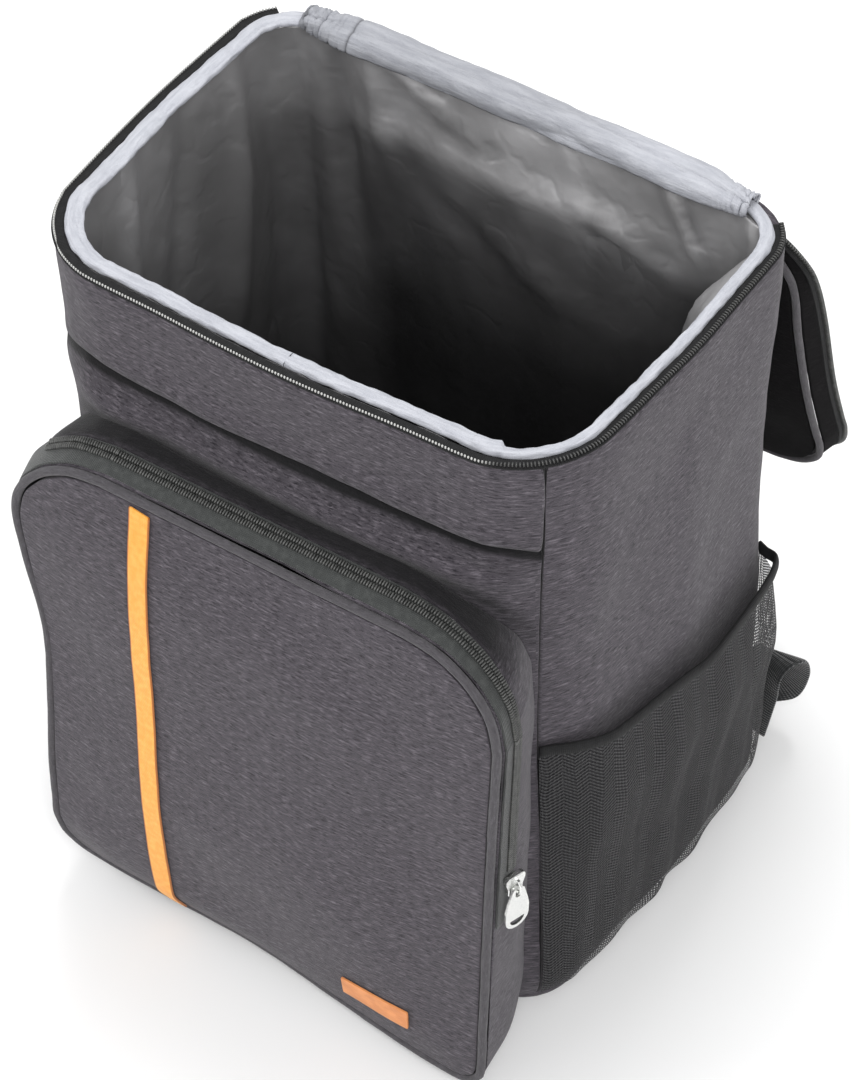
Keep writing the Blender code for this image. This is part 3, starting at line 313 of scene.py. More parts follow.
def soft_copy(node, cuts=1, levels=3, crease=0.35):
    """A CAD panel as padded cloth: cut once where it is coarse, then rounded."""
    bm = solid_copy(node)
    if cuts:
        bmesh.ops.subdivide_edges(bm, edges=bm.edges, cuts=cuts, use_grid_fill=True)
    fine = rounded(bm, levels, crease)
    lay_cloth(fine)
    return fine


def press(bm, moves):
    """Push every point of a mesh by the sum of some moves, each a function of its place and normal."""
    bm.normal_update()
    shifts = [sum((move(v.co, v.normal) for move in moves), Vector()) for v in bm.verts]
    for vert, shift in zip(bm.verts, shifts):
        vert.co += shift


def shade(bm, spots):
    """Mark where folds and seams keep light out. Each spot gives 0 to 1 for a place."""
    layer = bm.verts.layers.float.new("shade")
    for vert in bm.verts:
        vert[layer] = min(max(sum(spot(vert.co) for spot in spots), 0), 0.95)


def bell(gap, width):
    """1 on a line, fading to nothing about twice `width` away from it."""
    return math.exp(-((gap / width) ** 2))


def ramp(value, low, high):
    """0 below one value, 1 above another, even between them."""
    return min(max((value - low) / (high - low), 0), 1)


def beyond_edge(x, z, box, radius):
    """How far a point is outside a rounded rectangle (left, right, low, high); negative inside it."""
    left, right, low, high = box
    across = abs(x - (left + right) / 2) - (right - left) / 2 + radius
    up = abs(z - (low + high) / 2) - (high - low) / 2 + radius
    return math.hypot(max(across, 0), max(up, 0)) + min(max(across, up), 0) - radius


def ripple(size, depth, seed):
    """Soft uneven waves, as in any large piece of cloth. size is their length."""
    far = Vector((seed, -seed, 2 * seed))
    return lambda place, normal: normal * depth * noise.noise(place / size + far)


def ridges(size, depth, upward, seed):
    """Upright sharp-edged folds with soft hollows between them, as in foil and thin coated cloth."""
    far = Vector((seed, -seed, 2 * seed))
    shape = Vector((size, size, size * upward))

    def move(place, normal):
        wave = noise.noise(Vector([place[k] / shape[k] for k in range(3)]) + far)
        return normal * depth * (1 - 3.0 * abs(wave))

    return move


def dent(centre, radii, depth, way):
    """One hollow or swelling, with its radius along each axis. Its depth is along `way`."""
    centre, way = Vector(centre), Vector(way)

    def move(place, normal):
        gap = place - centre
        far = sum((gap[i] / radii[i]) ** 2 for i in range(3))
        return way * depth * math.exp(-far) if far < 9 else Vector()

    return move


def crease(start, end, width, depth, way):
    """A soft fold along a line from one point to another, fading at its ends."""
    start, end, way = Vector(start), Vector(end), Vector(way)
    run = end - start

    def move(place, normal):
        part = (place - start).dot(run) / run.length_squared
        if not -0.2 < part < 1.2:
            return Vector()
        gap = (place - start - run * part).length / width
        fade = math.sin(math.pi * min(max(part, 0), 1)) ** 0.6
        return way * depth * fade * (1 - 0.6 * gap * gap) * math.exp(-gap * gap) if gap < 3 else Vector()

    return move


def line_on_wall(axis, side, start, end):
    """A line on one wall of the liner, from one (level place, height) to another. axis is the one
    that the wall faces along. It gives how far a place is from the line, and how it fades there."""
    level = 1 - axis
    start, run = Vector(start), Vector(end) - Vector(start)

    def seen_from(place):
        spot = Vector((place[level], place.z)) - start
        part = spot.dot(run) / run.length_squared
        if place[axis] * side < 0.04 or not -0.1 < part < 1.1:
            return None, 0.0
        return (spot - run * part).length, math.sin(math.pi * ramp(part, -0.1, 1.1)) ** 0.7

    return seen_from


def pleat(axis, side, start, end, width, depth):
    """A fold pressed inwards along a line on one wall of the liner."""
    line = line_on_wall(axis, side, start, end)

    def move(place, normal):
        gap, fade = line(place)
        shift = Vector()
        if fade and gap < 3 * width:
            gap /= width
            shift[axis] = -side * depth * fade * (1 - 0.8 * gap * gap) * math.exp(-gap * gap)
        return shift

    return move


# %% [markdown]
# ## Effects that materials share
# The pack's outer cloth is a melange: grey threads of slightly different shades, so that short level
# streaks run through it. We build that once as a node group, and a second group for the threads of
# any woven tape. A group only puts out colours and heights. The shader stays in each material, where
# its fixed numbers, such as the sheen, are set on its own sockets.

# %% Node groups
VALUE, COLOUR, VECTOR = "NodeSocketFloat", "NodeSocketColor", "NodeSocketVector"


def new_group(name, inputs, outputs):
    """A node group and its two end nodes. Inputs and outputs are pairs of a name and a kind."""
    tree = bpy.data.node_groups.new(name, "ShaderNodeTree")
    for way, sockets in (("INPUT", inputs), ("OUTPUT", outputs)):
        for label, kind in sockets:
            tree.interface.new_socket(label, in_out=way, socket_type=kind)
    return tree, tree.nodes.new("NodeGroupInput"), tree.nodes.new("NodeGroupOutput")


def connect(tree, node, sockets):
    """Link or set inputs of a node. sockets are pairs of an input and an output or value."""
    for label, value in sockets:
        socket = node.inputs[label]
        if isinstance(value, bpy.types.NodeSocket):
            tree.links.new(value, socket)
        else:
            socket.default_value = (*value, 1) if socket.type == "RGBA" else value
    return node


def add(tree, kind, sockets=(), **settings):
    node = tree.nodes.new(kind)
    for label, value in settings.items():
        setattr(node, label, value)
    return connect(tree, node, sockets)


def feed(tree, node, **values):
    """Link or set inputs by their names, written with _ for a blank."""
    return connect(tree, node, [(label.replace("_", " "), value) for label, value in values.items()])


def maths(tree, operation, a, b=0.0):
    return add(tree, "ShaderNodeMath", [(0, a), (1, b)], operation=operation).outputs[0]


def plus(tree, a, b):
    return maths(tree, "ADD", a, b)


def times(tree, a, b):
    return maths(tree, "MULTIPLY", a, b)


def blend_colours(tree, share, a, b, way="MIX"):
    sockets = [(0, share), (6, a), (7, b)]
    return add(tree, "ShaderNodeMix", sockets, data_type="RGBA", blend_type=way).outputs[2]


def between(tree, value, low, high):
    """A value brought from one range to 0..1, with soft ends."""
    sockets = [(0, value), (1, low), (2, high)]
    return add(tree, "ShaderNodeMapRange", sockets, interpolation_type="SMOOTHSTEP").outputs[0]


def plain_noise(tree, place, scale, detail, roughness=0.5):
    sockets = [("Vector", place), ("Scale", scale), ("Detail", detail), ("Roughness", roughness)]
    return add(tree, "ShaderNodeTexNoise", sockets).outputs[0]


def stretched_noise(tree, place, scale, detail=2.0, roughness=0.5):
    """Noise on a cloth map, with its own scale along and across."""
    spread = add(tree, "ShaderNodeMapping", [("Vector", place), ("Scale", scale)]).outputs[0]
    return plain_noise(tree, spread, 1.0, detail, roughness)


def make_melange():
    inputs = [("Place", VECTOR), ("Body", COLOUR), ("Light thread", COLOUR), ("Dark thread", COLOUR)]
    tree, ends, out = new_group(
        "melange_cloth", inputs + [("Streaks", VALUE)], [("Color", COLOUR), ("Height", VALUE)]
    )
    given = ends.outputs
    place, streaks = given["Place"], given["Streaks"]
    long_streaks = stretched_noise(tree, place, (170.0, 820.0, 1.0), 4.0, 0.68)
    short_streaks = stretched_noise(tree, place, (230.0, 1100.0, 1.0), 4.0, 0.68)
    patches = stretched_noise(tree, place, (22.0, 40.0, 1.0), 4.0, 0.65)
    threads = stretched_noise(tree, place, (1300.0, 1500.0, 1.0), 2.0, 0.6)
    light = times(tree, between(tree, long_streaks, 0.46, 0.72), streaks)
    dark = times(tree, between(tree, short_streaks, 0.54, 0.30), streaks)
    colour = blend_colours(tree, light, given["Body"], given["Light thread"])
    colour = blend_colours(tree, dark, colour, given["Dark thread"])
    tone = plus(tree, plus(tree, times(tree, patches, 0.24), times(tree, threads, 0.40)), 0.68)
    grey = add(tree, "ShaderNodeCombineColor", [(0, tone), (1, tone), (2, tone)]).outputs[0]
    shaded = blend_colours(tree, 1.0, colour, grey, "MULTIPLY")
    height = plus(tree, threads, times(tree, long_streaks, 0.8))
    feed(tree, out, Color=shaded, Height=height)
    return tree


def make_ribs():
    """Ribs across a tape and threads along it, as in webbing, zip tape and binding."""
    inputs = [("Place", VECTOR), ("Rib", VALUE), ("Thread", VALUE)]
    tree, ends, out = new_group("ribbed_weave", inputs, [("Height", VALUE), ("Worn", VALUE)])
    given = ends.outputs
    split = add(tree, "ShaderNodeSeparateXYZ", [(0, given["Place"])]).outputs
    along, over = (
        times(tree, maths(tree, "DIVIDE", split[k], given[size]), 2 * math.pi)
        for k, size in enumerate(("Rib", "Thread"))
    )
    fray = stretched_noise(tree, given["Place"], (300.0, 300.0, 300.0))
    rib = maths(tree, "SINE", plus(tree, along, times(tree, fray, 2.0)))
    thread = maths(tree, "SINE", over)
    height = plus(tree, times(tree, rib, 0.5), times(tree, thread, 0.35))
    feed(tree, out, Height=height, Worn=fray)
    return tree


def make_crumple():
    """Fine crumpling of thin coated cloth: soft facets between small ridges."""
    tree, ends, out = new_group("crumple", [("Place", VECTOR), ("Size", VALUE)], [("Height", VALUE)])
    given = ends.outputs
    grown = add(
        tree, "ShaderNodeVectorMath", [(0, given["Place"]), (1, given["Size"])], operation="DIVIDE"
    ).outputs[0]
    sockets = [("Vector", grown), ("Scale", 1.0), ("Smoothness", 0.6)]
    facets = add(tree, "ShaderNodeTexVoronoi", sockets, feature="SMOOTH_F1").outputs[0]
    feed(tree, out, Height=plus(tree, facets, plain_noise(tree, grown, 0.8, 4.0)))
    return tree


MELANGE = make_melange()
RIBS = make_ribs()
CRUMPLE = make_crumple()
print("Shared effects:", ", ".join(g.name for g in (MELANGE, RIBS, CRUMPLE)))

# %% [markdown]
# ## Materials
# Cloth is matt, but not dead: loose fibres catch light at a glancing angle, which the sheen gives.
# Zip teeth are shiny nylon, the liner is thin coated foil, and the slider is cast metal. Where a fold
# keeps light out, the mesh carries a value named "shade", which turns the colour nearly black.

# %% Materials
DEEP_SHADE = (0.003, 0.003, 0.0035)
HAZE_SCALE = 400.0


def new_material(name):
    """A material with its shader and a node that reads the piece's cloth map."""
    material = bpy.data.materials.new(name)
    material.use_nodes = True
    tree = material.node_tree
    cloth = add(tree, "ShaderNodeUVMap", uv_map="cloth").outputs[0]
    return material, tree, tree.nodes["Principled BSDF"], cloth


def use(tree, group, **values):
    """A shared effect placed in a material, with its own values."""
    return feed(tree, add(tree, "ShaderNodeGroup", node_tree=group), **values).outputs


def object_place(tree):
    return add(tree, "ShaderNodeTexCoord").outputs["Object"]


def raise_surface(tree, shader, height, distance, strength=1.0):
    sockets = [("Height", height), ("Distance", distance), ("Strength", strength)]
    feed(tree, shader, Normal=add(tree, "ShaderNodeBump", sockets).outputs[0])


def in_shade(tree, colour):
    """A colour that turns dark where the piece says that a fold keeps light out."""
    share = add(tree, "ShaderNodeAttribute", attribute_name="shade").outputs["Fac"]
    return blend_colours(tree, share, colour, DEEP_SHADE)


def melange(name, body, light, dark, streaks, sheen=0.12, shine=0.2):
    material, tree, shader, cloth = new_material(name)
    weave = use(
        tree, MELANGE, Place=cloth, Body=body, Light_thread=light, Dark_thread=dark, Streaks=streaks
    )
    raise_surface(tree, shader, weave["Height"], 0.0003, 0.9)
    feed(
        tree, shader, Base_Color=in_shade(tree, weave["Color"]), Roughness=0.88, Sheen_Weight=sheen,
        Sheen_Roughness=0.5, Specular_IOR_Level=shine,
    )
    return material


CHARCOAL = melange(
    "charcoal_fabric", body=(0.060, 0.053, 0.063), light=(0.150, 0.134, 0.154),
    dark=(0.012, 0.010, 0.014), streaks=1.0,
)
# Painted shade: the body's charcoal melange made nearly black for the lid, which hangs in shade behind the
# pack.
CHARCOAL_IN_PAINTED_SHADE = melange(
    "charcoal_lid_painted_shade", body=(0.005, 0.0045, 0.005), light=(0.014, 0.013, 0.014),
    dark=(0.002, 0.002, 0.002), streaks=0.8, sheen=0.0, shine=0.08,
)
CHARCOAL_PLAIN = melange(
    "charcoal_piping", body=(0.070, 0.066, 0.072), light=(0.12, 0.112, 0.125),
    dark=(0.035, 0.031, 0.037), streaks=0.6,
)


def tape_material(name, colour, worn, rib=0.0009, thread=0.0007, depth=0.00015, roughness=0.75, sheen=0.3):
    """Woven tape: a dark colour that pales a little where the weave is worn, and ribs."""
    material, tree, shader, cloth = new_material(name)
    weave = use(tree, RIBS, Place=cloth, Rib=rib, Thread=thread)
    bare = blend_colours(tree, between(tree, weave["Worn"], 0.35, 0.8), colour, worn)
    raise_surface(tree, shader, weave["Height"], depth)
    feed(
        tree, shader, Base_Color=in_shade(tree, bare), Roughness=roughness, Sheen_Weight=sheen,
        Sheen_Roughness=0.4, Specular_IOR_Level=0.3,
    )
    return material


BLACK_TAPE = tape_material(
    "black_tape", (0.007, 0.007, 0.0075), worn=(0.013, 0.013, 0.014), roughness=0.8, sheen=0.03
)
POCKET_TAPE = tape_material("pocket_tape", (0.040, 0.043, 0.042), worn=(0.060, 0.064, 0.062))
BLACK_WEBBING = tape_material(
    "black_webbing", (0.016, 0.017, 0.018), worn=(0.035, 0.036, 0.038), rib=0.0016, thread=0.0011,
    depth=0.0003,
)


def make_stripe_material():
    """Bright woven tape with a darker woven edge on each side."""
    material, tree, shader, cloth = new_material("orange_webbing")
    weave = use(tree, RIBS, Place=cloth, Rib=0.0010, Thread=0.0009)
    across = add(tree, "ShaderNodeSeparateXYZ", [(0, cloth)]).outputs[1]
    edge = between(tree, maths(tree, "ABSOLUTE", across), 0.0044, 0.0050)
    share = between(tree, weave["Worn"], 0.3, 0.8)
    bright = blend_colours(tree, share, (0.90, 0.36, 0.045), (1.0, 0.47, 0.09))
    colour = blend_colours(tree, edge, bright, (0.46, 0.150, 0.025))
    raise_surface(tree, shader, weave["Height"], 0.00012)
    feed(tree, shader, Base_Color=colour, Roughness=0.62, Sheen_Weight=0.15, Specular_IOR_Level=0.35)
    return material


def make_foil():
    """The liner: thin silver-grey coated foil, satin rather than bright, with a few sharp creases."""
    material, tree, shader, _ = new_material("silver_foil")
    place = object_place(tree)
    large = use(tree, CRUMPLE, Place=place, Size=0.045)[0]
    small = use(tree, CRUMPLE, Place=place, Size=0.009)[0]
    off_middle = maths(tree, "SUBTRACT", plain_noise(tree, place, 30.0, 3.0), 0.5)
    line = between(tree, maths(tree, "ABSOLUTE", off_middle), 0.0, 0.07)
    height = plus(tree, plus(tree, large, times(tree, small, 0.12)), times(tree, line, 0.10))
    share = between(tree, plain_noise(tree, place, 14.0, 4.0), 0.35, 0.7)
    bare = blend_colours(tree, share, (0.36, 0.355, 0.36), (0.50, 0.495, 0.505))
    raise_surface(tree, shader, height, 0.0020, 0.9)
    roughness = plus(tree, times(tree, share, 0.12), 0.36)
    feed(
        tree, shader, Base_Color=in_shade(tree, bare), Roughness=roughness, Metallic=0.6,
        Specular_IOR_Level=0.5,
    )
    return material


def make_pale_binding():
    """Pale binding: soft coated cloth, finely woven, with thin creases pressed along it, and painted shade
    in their hollows.
    """
    material, tree, shader, cloth = new_material("pale_binding")
    weave = use(tree, RIBS, Place=cloth, Rib=0.0011, Thread=0.0011)
    creases = stretched_noise(tree, cloth, (60.0, 420.0, 1.0), 5.0, 0.65)
    soft = stretched_noise(tree, cloth, (130.0, 130.0, 1.0), 3.0, 0.6)
    height = plus(tree, times(tree, weave["Height"], 0.04), creases)
    height = plus(tree, height, times(tree, soft, 0.5))
    # Painted shade: the colour follows the creases' height, darker in their hollows and paler on their
    # ridges.
    share = between(tree, creases, 0.3, 0.7)
    bare = blend_colours(tree, share, (0.36, 0.37, 0.41), (0.47, 0.48, 0.52))
    raise_surface(tree, shader, height, 0.0011, 0.9)
    feed(
        tree, shader, Base_Color=in_shade(tree, bare), Roughness=0.55, Sheen_Weight=0.05,
        Specular_IOR_Level=0.35,
    )
    return material


def nylon_finish(tree, shader, haze, colour, roughness, shine):
    raise_surface(tree, shader, haze, 0.00005)
    roughness = plus(tree, times(tree, haze, 0.2), roughness)
    feed(tree, shader, Base_Color=colour, Roughness=roughness, Specular_IOR_Level=shine)


def make_nylon(name, colour, worn, roughness):
    """Moulded nylon: smooth, with a slight haze."""
    material, tree, shader, _ = new_material(name)
    haze = plain_noise(tree, object_place(tree), HAZE_SCALE, 2.0)
    colour = blend_colours(tree, between(tree, haze, 0.35, 0.7), colour, worn)
    nylon_finish(tree, shader, haze, colour, roughness, 0.6)
    return material


def make_rim_nylon():
    """The rim's teeth: black nylon along the right side, and painted light grey elsewhere, a painted
    highlight on the tips along the front.
    """
    material, tree, shader, _ = new_material("rim_nylon_painted_highlight")
    place = object_place(tree)
    across = add(tree, "ShaderNodeSeparateXYZ", [(0, place)]).outputs[0]
    haze = plain_noise(tree, place, HAZE_SCALE, 2.0)
    black = blend_colours(tree, haze, (0.014, 0.014, 0.014), (0.050, 0.050, 0.048))
    # Painted highlight: the same nylon, painted light grey where the tips would catch the light.
    bare = blend_colours(tree, haze, (0.34, 0.34, 0.33), (0.60, 0.60, 0.58))
    colour = blend_colours(tree, between(tree, across, 0.104, 0.094), black, bare)
    nylon_finish(tree, shader, haze, colour, 0.22, 0.55)
    return material


def make_leather():
    """A small patch of tan leather, clouded and finely grained."""
    material, tree, shader, cloth = new_material("tan_patch")
    sockets = [("Vector", cloth), ("Scale", 1400.0)]
    grain = add(tree, "ShaderNodeTexVoronoi", sockets, feature="SMOOTH_F1").outputs[0]
    cloud = stretched_noise(tree, cloth, (90.0, 120.0, 1.0), 4.0)
    share = between(tree, cloud, 0.3, 0.75)
    colour = blend_colours(tree, share, (0.64, 0.24, 0.085), (0.82, 0.34, 0.13))
    raise_surface(tree, shader, plus(tree, grain, cloud), 0.00018)
    feed(tree, shader, Base_Color=colour, Roughness=0.5, Specular_IOR_Level=0.4)
    return material


def make_metal():
    """Bright cast metal, brushed a little by use."""
    material, tree, shader, _ = new_material("bright_metal")
    brushed = stretched_noise(tree, object_place(tree), (900.0, 900.0, 2600.0), 3.0)
    share = between(tree, brushed, 0.3, 0.7)
    colour = blend_colours(tree, share, (0.70, 0.71, 0.70), (0.86, 0.86, 0.84))
    raise_surface(tree, shader, brushed, 0.00006)
    roughness = plus(tree, times(tree, brushed, 0.22), 0.12)
    feed(tree, shader, Base_Color=colour, Roughness=roughness, Metallic=1.0)
    return material


NET_ROW = 0.0021
NET_CELL = 0.0017
NET_CHEVRON = 0.0065
NET_OPENER = (0.140, 0.170)


def make_net_material():
    """Fine warp-knitted net: zigzag rows of small holes, wider towards the rear."""
    material, tree, shader, cloth = new_material("black_net")
    split = add(tree, "ShaderNodeSeparateXYZ", [(0, cloth)]).outputs
    sway = stretched_noise(tree, cloth, (45.0, 28.0, 1.0))
    u = plus(tree, split[0], times(tree, sway, 0.006))
    chevron = times(tree, maths(tree, "PINGPONG", u, NET_CHEVRON), 0.7)
    rows = maths(tree, "SINE", times(tree, plus(tree, split[1], chevron), 2 * math.pi / NET_ROW))
    cells = maths(tree, "SINE", times(tree, u, 2 * math.pi / NET_CELL))
    rear = times(tree, between(tree, split[0], *NET_OPENER), 0.50)
    low, high = (maths(tree, "SUBTRACT", edge, rear) for edge in (0.15, 0.60))
    hole = times(tree, between(tree, rows, low, high), between(tree, cells, -0.30, 0.40))
    alpha = maths(tree, "SUBTRACT", 1.0, times(tree, hole, 0.93))
    share = between(tree, rows, -1.0, 0.6)
    colour = blend_colours(tree, share, (0.034, 0.033, 0.036), (0.012, 0.012, 0.013))
    raise_surface(tree, shader, plus(tree, rows, times(tree, cells, 0.5)), 0.0004)
    feed(
        tree, shader, Base_Color=colour, Alpha=alpha, Roughness=0.75, Sheen_Weight=0.08,
        Specular_IOR_Level=0.25,
    )
    return material


STRIPE_CLOTH = make_stripe_material()
FOIL = make_foil()
PALE = make_pale_binding()
NYLON = make_nylon("zip_nylon", (0.040, 0.041, 0.039), worn=(0.085, 0.086, 0.082), roughness=0.24)
RIM_NYLON_PAINTED_HIGHLIGHT = make_rim_nylon()
PLASTIC = make_nylon("buckle_plastic", (0.012, 0.012, 0.013), worn=(0.022, 0.022, 0.023), roughness=0.32)
LEATHER = make_leather()
METAL = make_metal()
NET = make_net_material()
print("Made", len(bpy.data.materials), "materials")

# %% [markdown]
# ## Body panels
# The walls are foam between two cloths, so they stand up by themselves but their surface is never
# flat: it swells between seams and has shallow waves. We could simulate this, but the walls are so
# stiff that the shape hardly changes, so we round the CAD panels, which also sinks every seam into a
# groove, and press in waves and the dents that this pack has.

# %% Body panels
FRONTWARD = (0, -1, 0)
SEAM_HEIGHT = 0.3260
SEAM_ARCH = 0.0010
SEAM_SAG = 0.012
SAG_FROM, SAG_FULL = 0.104, 0.132
BODY_WIDE = 0.280
FOLD_REACH = 0.008
FOLD_DEPTH = 0.0042
LIP_SWELL = 0.0012
POCKET_SEAM = (-0.1225, 0.1160, 0.010, 0.301)
POCKET_ROUND = 0.044


def above_fold(place):
    """How far a place is above the seam across the front, which sags at the corners."""
    arch = SEAM_ARCH * math.cos(math.pi * place.x / BODY_WIDE) ** 2
    sag = SEAM_SAG * ramp(abs(place.x), SAG_FROM, SAG_FULL) ** 1.5
    return place.z - SEAM_HEIGHT - arch + sag


def off_corner(place):
    """1 along the front, and nothing at its corners."""
    return ramp(-abs(place.x), -0.142, -0.128)


def tuck_under(place, normal):
    """The front's cloth goes in under the yoke's fold."""
    part = ramp(above_fold(place), -FOLD_REACH, 0)
    return Vector((0, FOLD_DEPTH * part**1.5 * off_corner(place) * max(-normal.y, 0), 0))


def roll_over(place, normal):
    """The yoke's lower edge rolls over the seam as a soft lip."""
    above = above_fold(place)
    swell = LIP_SWELL * bell(above - 0.003, 0.006) * max(-normal.y, 0)
    return Vector((0, -swell, -0.0010 * bell(above, 0.0025))) * off_corner(place)


def under_fold(place):
    """The shade under the fold, for the front panel."""
    gap = above_fold(place)
    return (0.93 * ramp(gap, -0.0070, -0.0052) + 0.24 * bell(gap + 0.006, 0.009)) * off_corner(place)


def at_lip(place):
    """The shade on the yoke's own lip."""
    gap = above_fold(place)
    return (0.90 * ramp(-gap, -0.0008, 0.0002) + 0.14 * bell(gap, 0.006)) * off_corner(place)


def above_pocket(place):
    """The shade where the pocket's top goes in under the front's swelling."""
    gap = beyond_edge(place.x, place.z, POCKET_SEAM, POCKET_ROUND)
    return 0.85 * bell(gap, 0.0030) * ramp(place.z, 0.250, 0.290)


FRONT_DENTS = [
    tuck_under,
    crease((0.020, -0.099, 0.331), (0.126, -0.096, 0.322), 0.007, -0.0025, FRONTWARD),
    dent((0.060, -0.100, 0.307), (0.045, 0.05, 0.007), 0.0036, FRONTWARD),
    dent((-0.020, -0.100, 0.309), (0.050, 0.05, 0.007), 0.0030, FRONTWARD),
    dent((-0.090, -0.100, 0.306), (0.030, 0.05, 0.008), 0.0025, FRONTWARD),
    crease((0.070, -0.100, 0.318), (0.118, -0.097, 0.306), 0.005, -0.0018, FRONTWARD),
]


def behind_net(place):
    """The shade that the net casts on the wall behind it."""
    return 0.45 * ramp(-place.z, -0.180, -0.150) * ramp(abs(place.x), 0.100, 0.115)


WALL_SHADE = {
    "front_panel": [under_fold, above_pocket],
    "front_yoke": [at_lip],
    "side_panel_right": [behind_net],
    "side_panel_left": [behind_net],
}


def make_walls():
    plans = (
        ("front_panel", [ripple(0.055, 0.0016, seed=3.0), ripple(0.018, 0.0004, seed=8.0)] + FRONT_DENTS),
        ("front_yoke", [roll_over, ripple(0.050, 0.0014, seed=5.0), ripple(0.016, 0.0004, seed=2.0)]),
        ("side_panel_right", [ripple(0.060, 0.0022, seed=1.0), ripple(0.020, 0.0005, seed=4.0)]),
        ("side_panel_left", [ripple(0.060, 0.0022, seed=6.0), ripple(0.020, 0.0005, seed=7.0)]),
        ("back_panel", [ripple(0.060, 0.0015, seed=9.0)]),
        ("base_panel", [ripple(0.050, 0.0004, seed=11.0)]),
    )
    for node, moves in plans:
        levels = 2 if node == "base_panel" else 3
        bm = soft_copy(node, cuts=1, levels=levels)
        shade(bm, WALL_SHADE.get(node, []))
        press(bm, moves)
        piece = keep(f"{node}_cloth", bm, CHARCOAL, node=node)


make_walls()

# %% [markdown]
# ## Liner
# The liner is one bag of silver foil cloth, a little too big for the space. It hangs in folds that
# open towards the corners, and one long fold runs along the back below the rim, with a lit slope
# above it and shade below. The CAD liner has the deep folds. We round them and press in the smaller
# ones, longer upwards than sideways, because the cloth hangs from the rim.

# %% Liner
FACING_SIDE, FACING_BACK = 0, 1
BACK_FOLD = 0.331
LINER_PLEATS = [
    pleat(FACING_BACK, 1, (-0.088, 0.331), (0.090, 0.339), 0.0100, 0.0034),
    pleat(FACING_BACK, 1, (-0.100, 0.376), (-0.086, 0.250), 0.0090, -0.0050),
    pleat(FACING_BACK, 1, (-0.082, 0.374), (-0.066, 0.300), 0.0080, 0.0035),
    pleat(FACING_BACK, 1, (-0.070, 0.364), (-0.020, 0.349), 0.0050, 0.0026),
    pleat(FACING_BACK, 1, (-0.010, 0.300), (0.060, 0.270), 0.0110, 0.0045),
    pleat(FACING_BACK, 1, (-0.050, 0.305), (0.000, 0.285), 0.0070, -0.0040),
    pleat(FACING_BACK, 1, (0.030, 0.345), (0.085, 0.318), 0.0060, 0.0030),
    pleat(FACING_BACK, 1, (0.070, 0.372), (0.098, 0.330), 0.0045, 0.0030),
    pleat(FACING_SIDE, 1, (0.080, 0.374), (0.076, 0.240), 0.0060, -0.0035),
    pleat(FACING_SIDE, 1, (0.078, 0.374), (0.058, 0.260), 0.0050, 0.0040),
    pleat(FACING_SIDE, 1, (0.076, 0.374), (0.036, 0.270), 0.0042, -0.0030),
    pleat(FACING_SIDE, 1, (0.075, 0.374), (0.015, 0.290), 0.0040, 0.0034),
    pleat(FACING_SIDE, 1, (0.072, 0.375), (-0.010, 0.315), 0.0036, -0.0024),
    pleat(FACING_SIDE, 1, (0.070, 0.376), (-0.035, 0.340), 0.0036, 0.0024),
    pleat(FACING_SIDE, -1, (0.055, 0.372), (0.030, 0.200), 0.0090, 0.0040),
    pleat(FACING_SIDE, -1, (0.020, 0.372), (-0.005, 0.240), 0.0080, -0.0035),
    pleat(FACING_SIDE, -1, (-0.020, 0.372), (-0.040, 0.260), 0.0075, 0.0035),
]


def fold_shade(axis, side, start, end, width, dark):
    """The shade in a valley of one wall's foil, given like a pleat."""
    line = line_on_wall(axis, side, start, end)

    def spot(place):
        gap, fade = line(place)
        return dark * fade * bell(gap, width) if fade else 0.0

    return spot


def in_the_depth(place):
    """Little light reaches the lower part of the liner, under the fold along the back."""
    back = ramp(place.y, 0.045, 0.075)
    fold = BACK_FOLD + 0.004 * noise.noise(Vector((place.x * 22, 3.0, 0)))
    left_corner = ramp(-place.x, 0.070, 0.100)
    below = 0.56 * ramp(-place.z, -fold, 0.013 - fold) * back * (1 - 0.4 * left_corner)
    sides = (0.18 + 0.32 * ramp(place.x, 0, 0.05)) * ramp(-place.z, -0.358, -0.322) * (1 - back)
    return below + sides + 0.34 * ramp(-place.z, -0.325, -0.230)


LINER_SHADE = [
    in_the_depth,
    fold_shade(FACING_BACK, 1, (-0.104, 0.380), (-0.096, 0.310), 0.0050, 0.30),
    fold_shade(FACING_BACK, 1, (-0.078, 0.366), (-0.012, 0.352), 0.0020, 0.50),
    fold_shade(FACING_BACK, 1, (0.078, 0.368), (0.100, 0.335), 0.0030, 0.45),
    fold_shade(FACING_SIDE, 1, (0.078, 0.376), (0.034, 0.290), 0.0026, 0.55),
    fold_shade(FACING_SIDE, 1, (0.074, 0.376), (-0.012, 0.325), 0.0020, 0.45),
    fold_shade(FACING_SIDE, 1, (0.080, 0.376), (0.072, 0.270), 0.0034, 0.50),
]


def make_liner():
    bm = soft_copy("liner", cuts=0, levels=3, crease=0.0)
    shade(bm, LINER_SHADE)
    press(bm, LINER_PLEATS + [
        ridges(0.042, 0.0012, upward=3.0, seed=2.5),
        ridges(0.016, 0.0005, upward=2.0, seed=5.5),
    ])
    keep("liner_foil", bm, FOIL, node="liner")


make_liner()

# %% [markdown]
# ## Rim
# Round the mouth, from outside in, run one half of the lid's zip on black tape, and then a pale
# binding that covers the raw edge of the liner. The binding is folded cloth, so it is never an even
# tube: it wanders, flattens and puckers. We sweep a soft section along the rim and let its width and
# height drift with noise.

# %% Rim
PACE = 0.0008
ASIDE = 0.01
TOOTH_ASIDE = -0.0009
STITCH = 0.0034


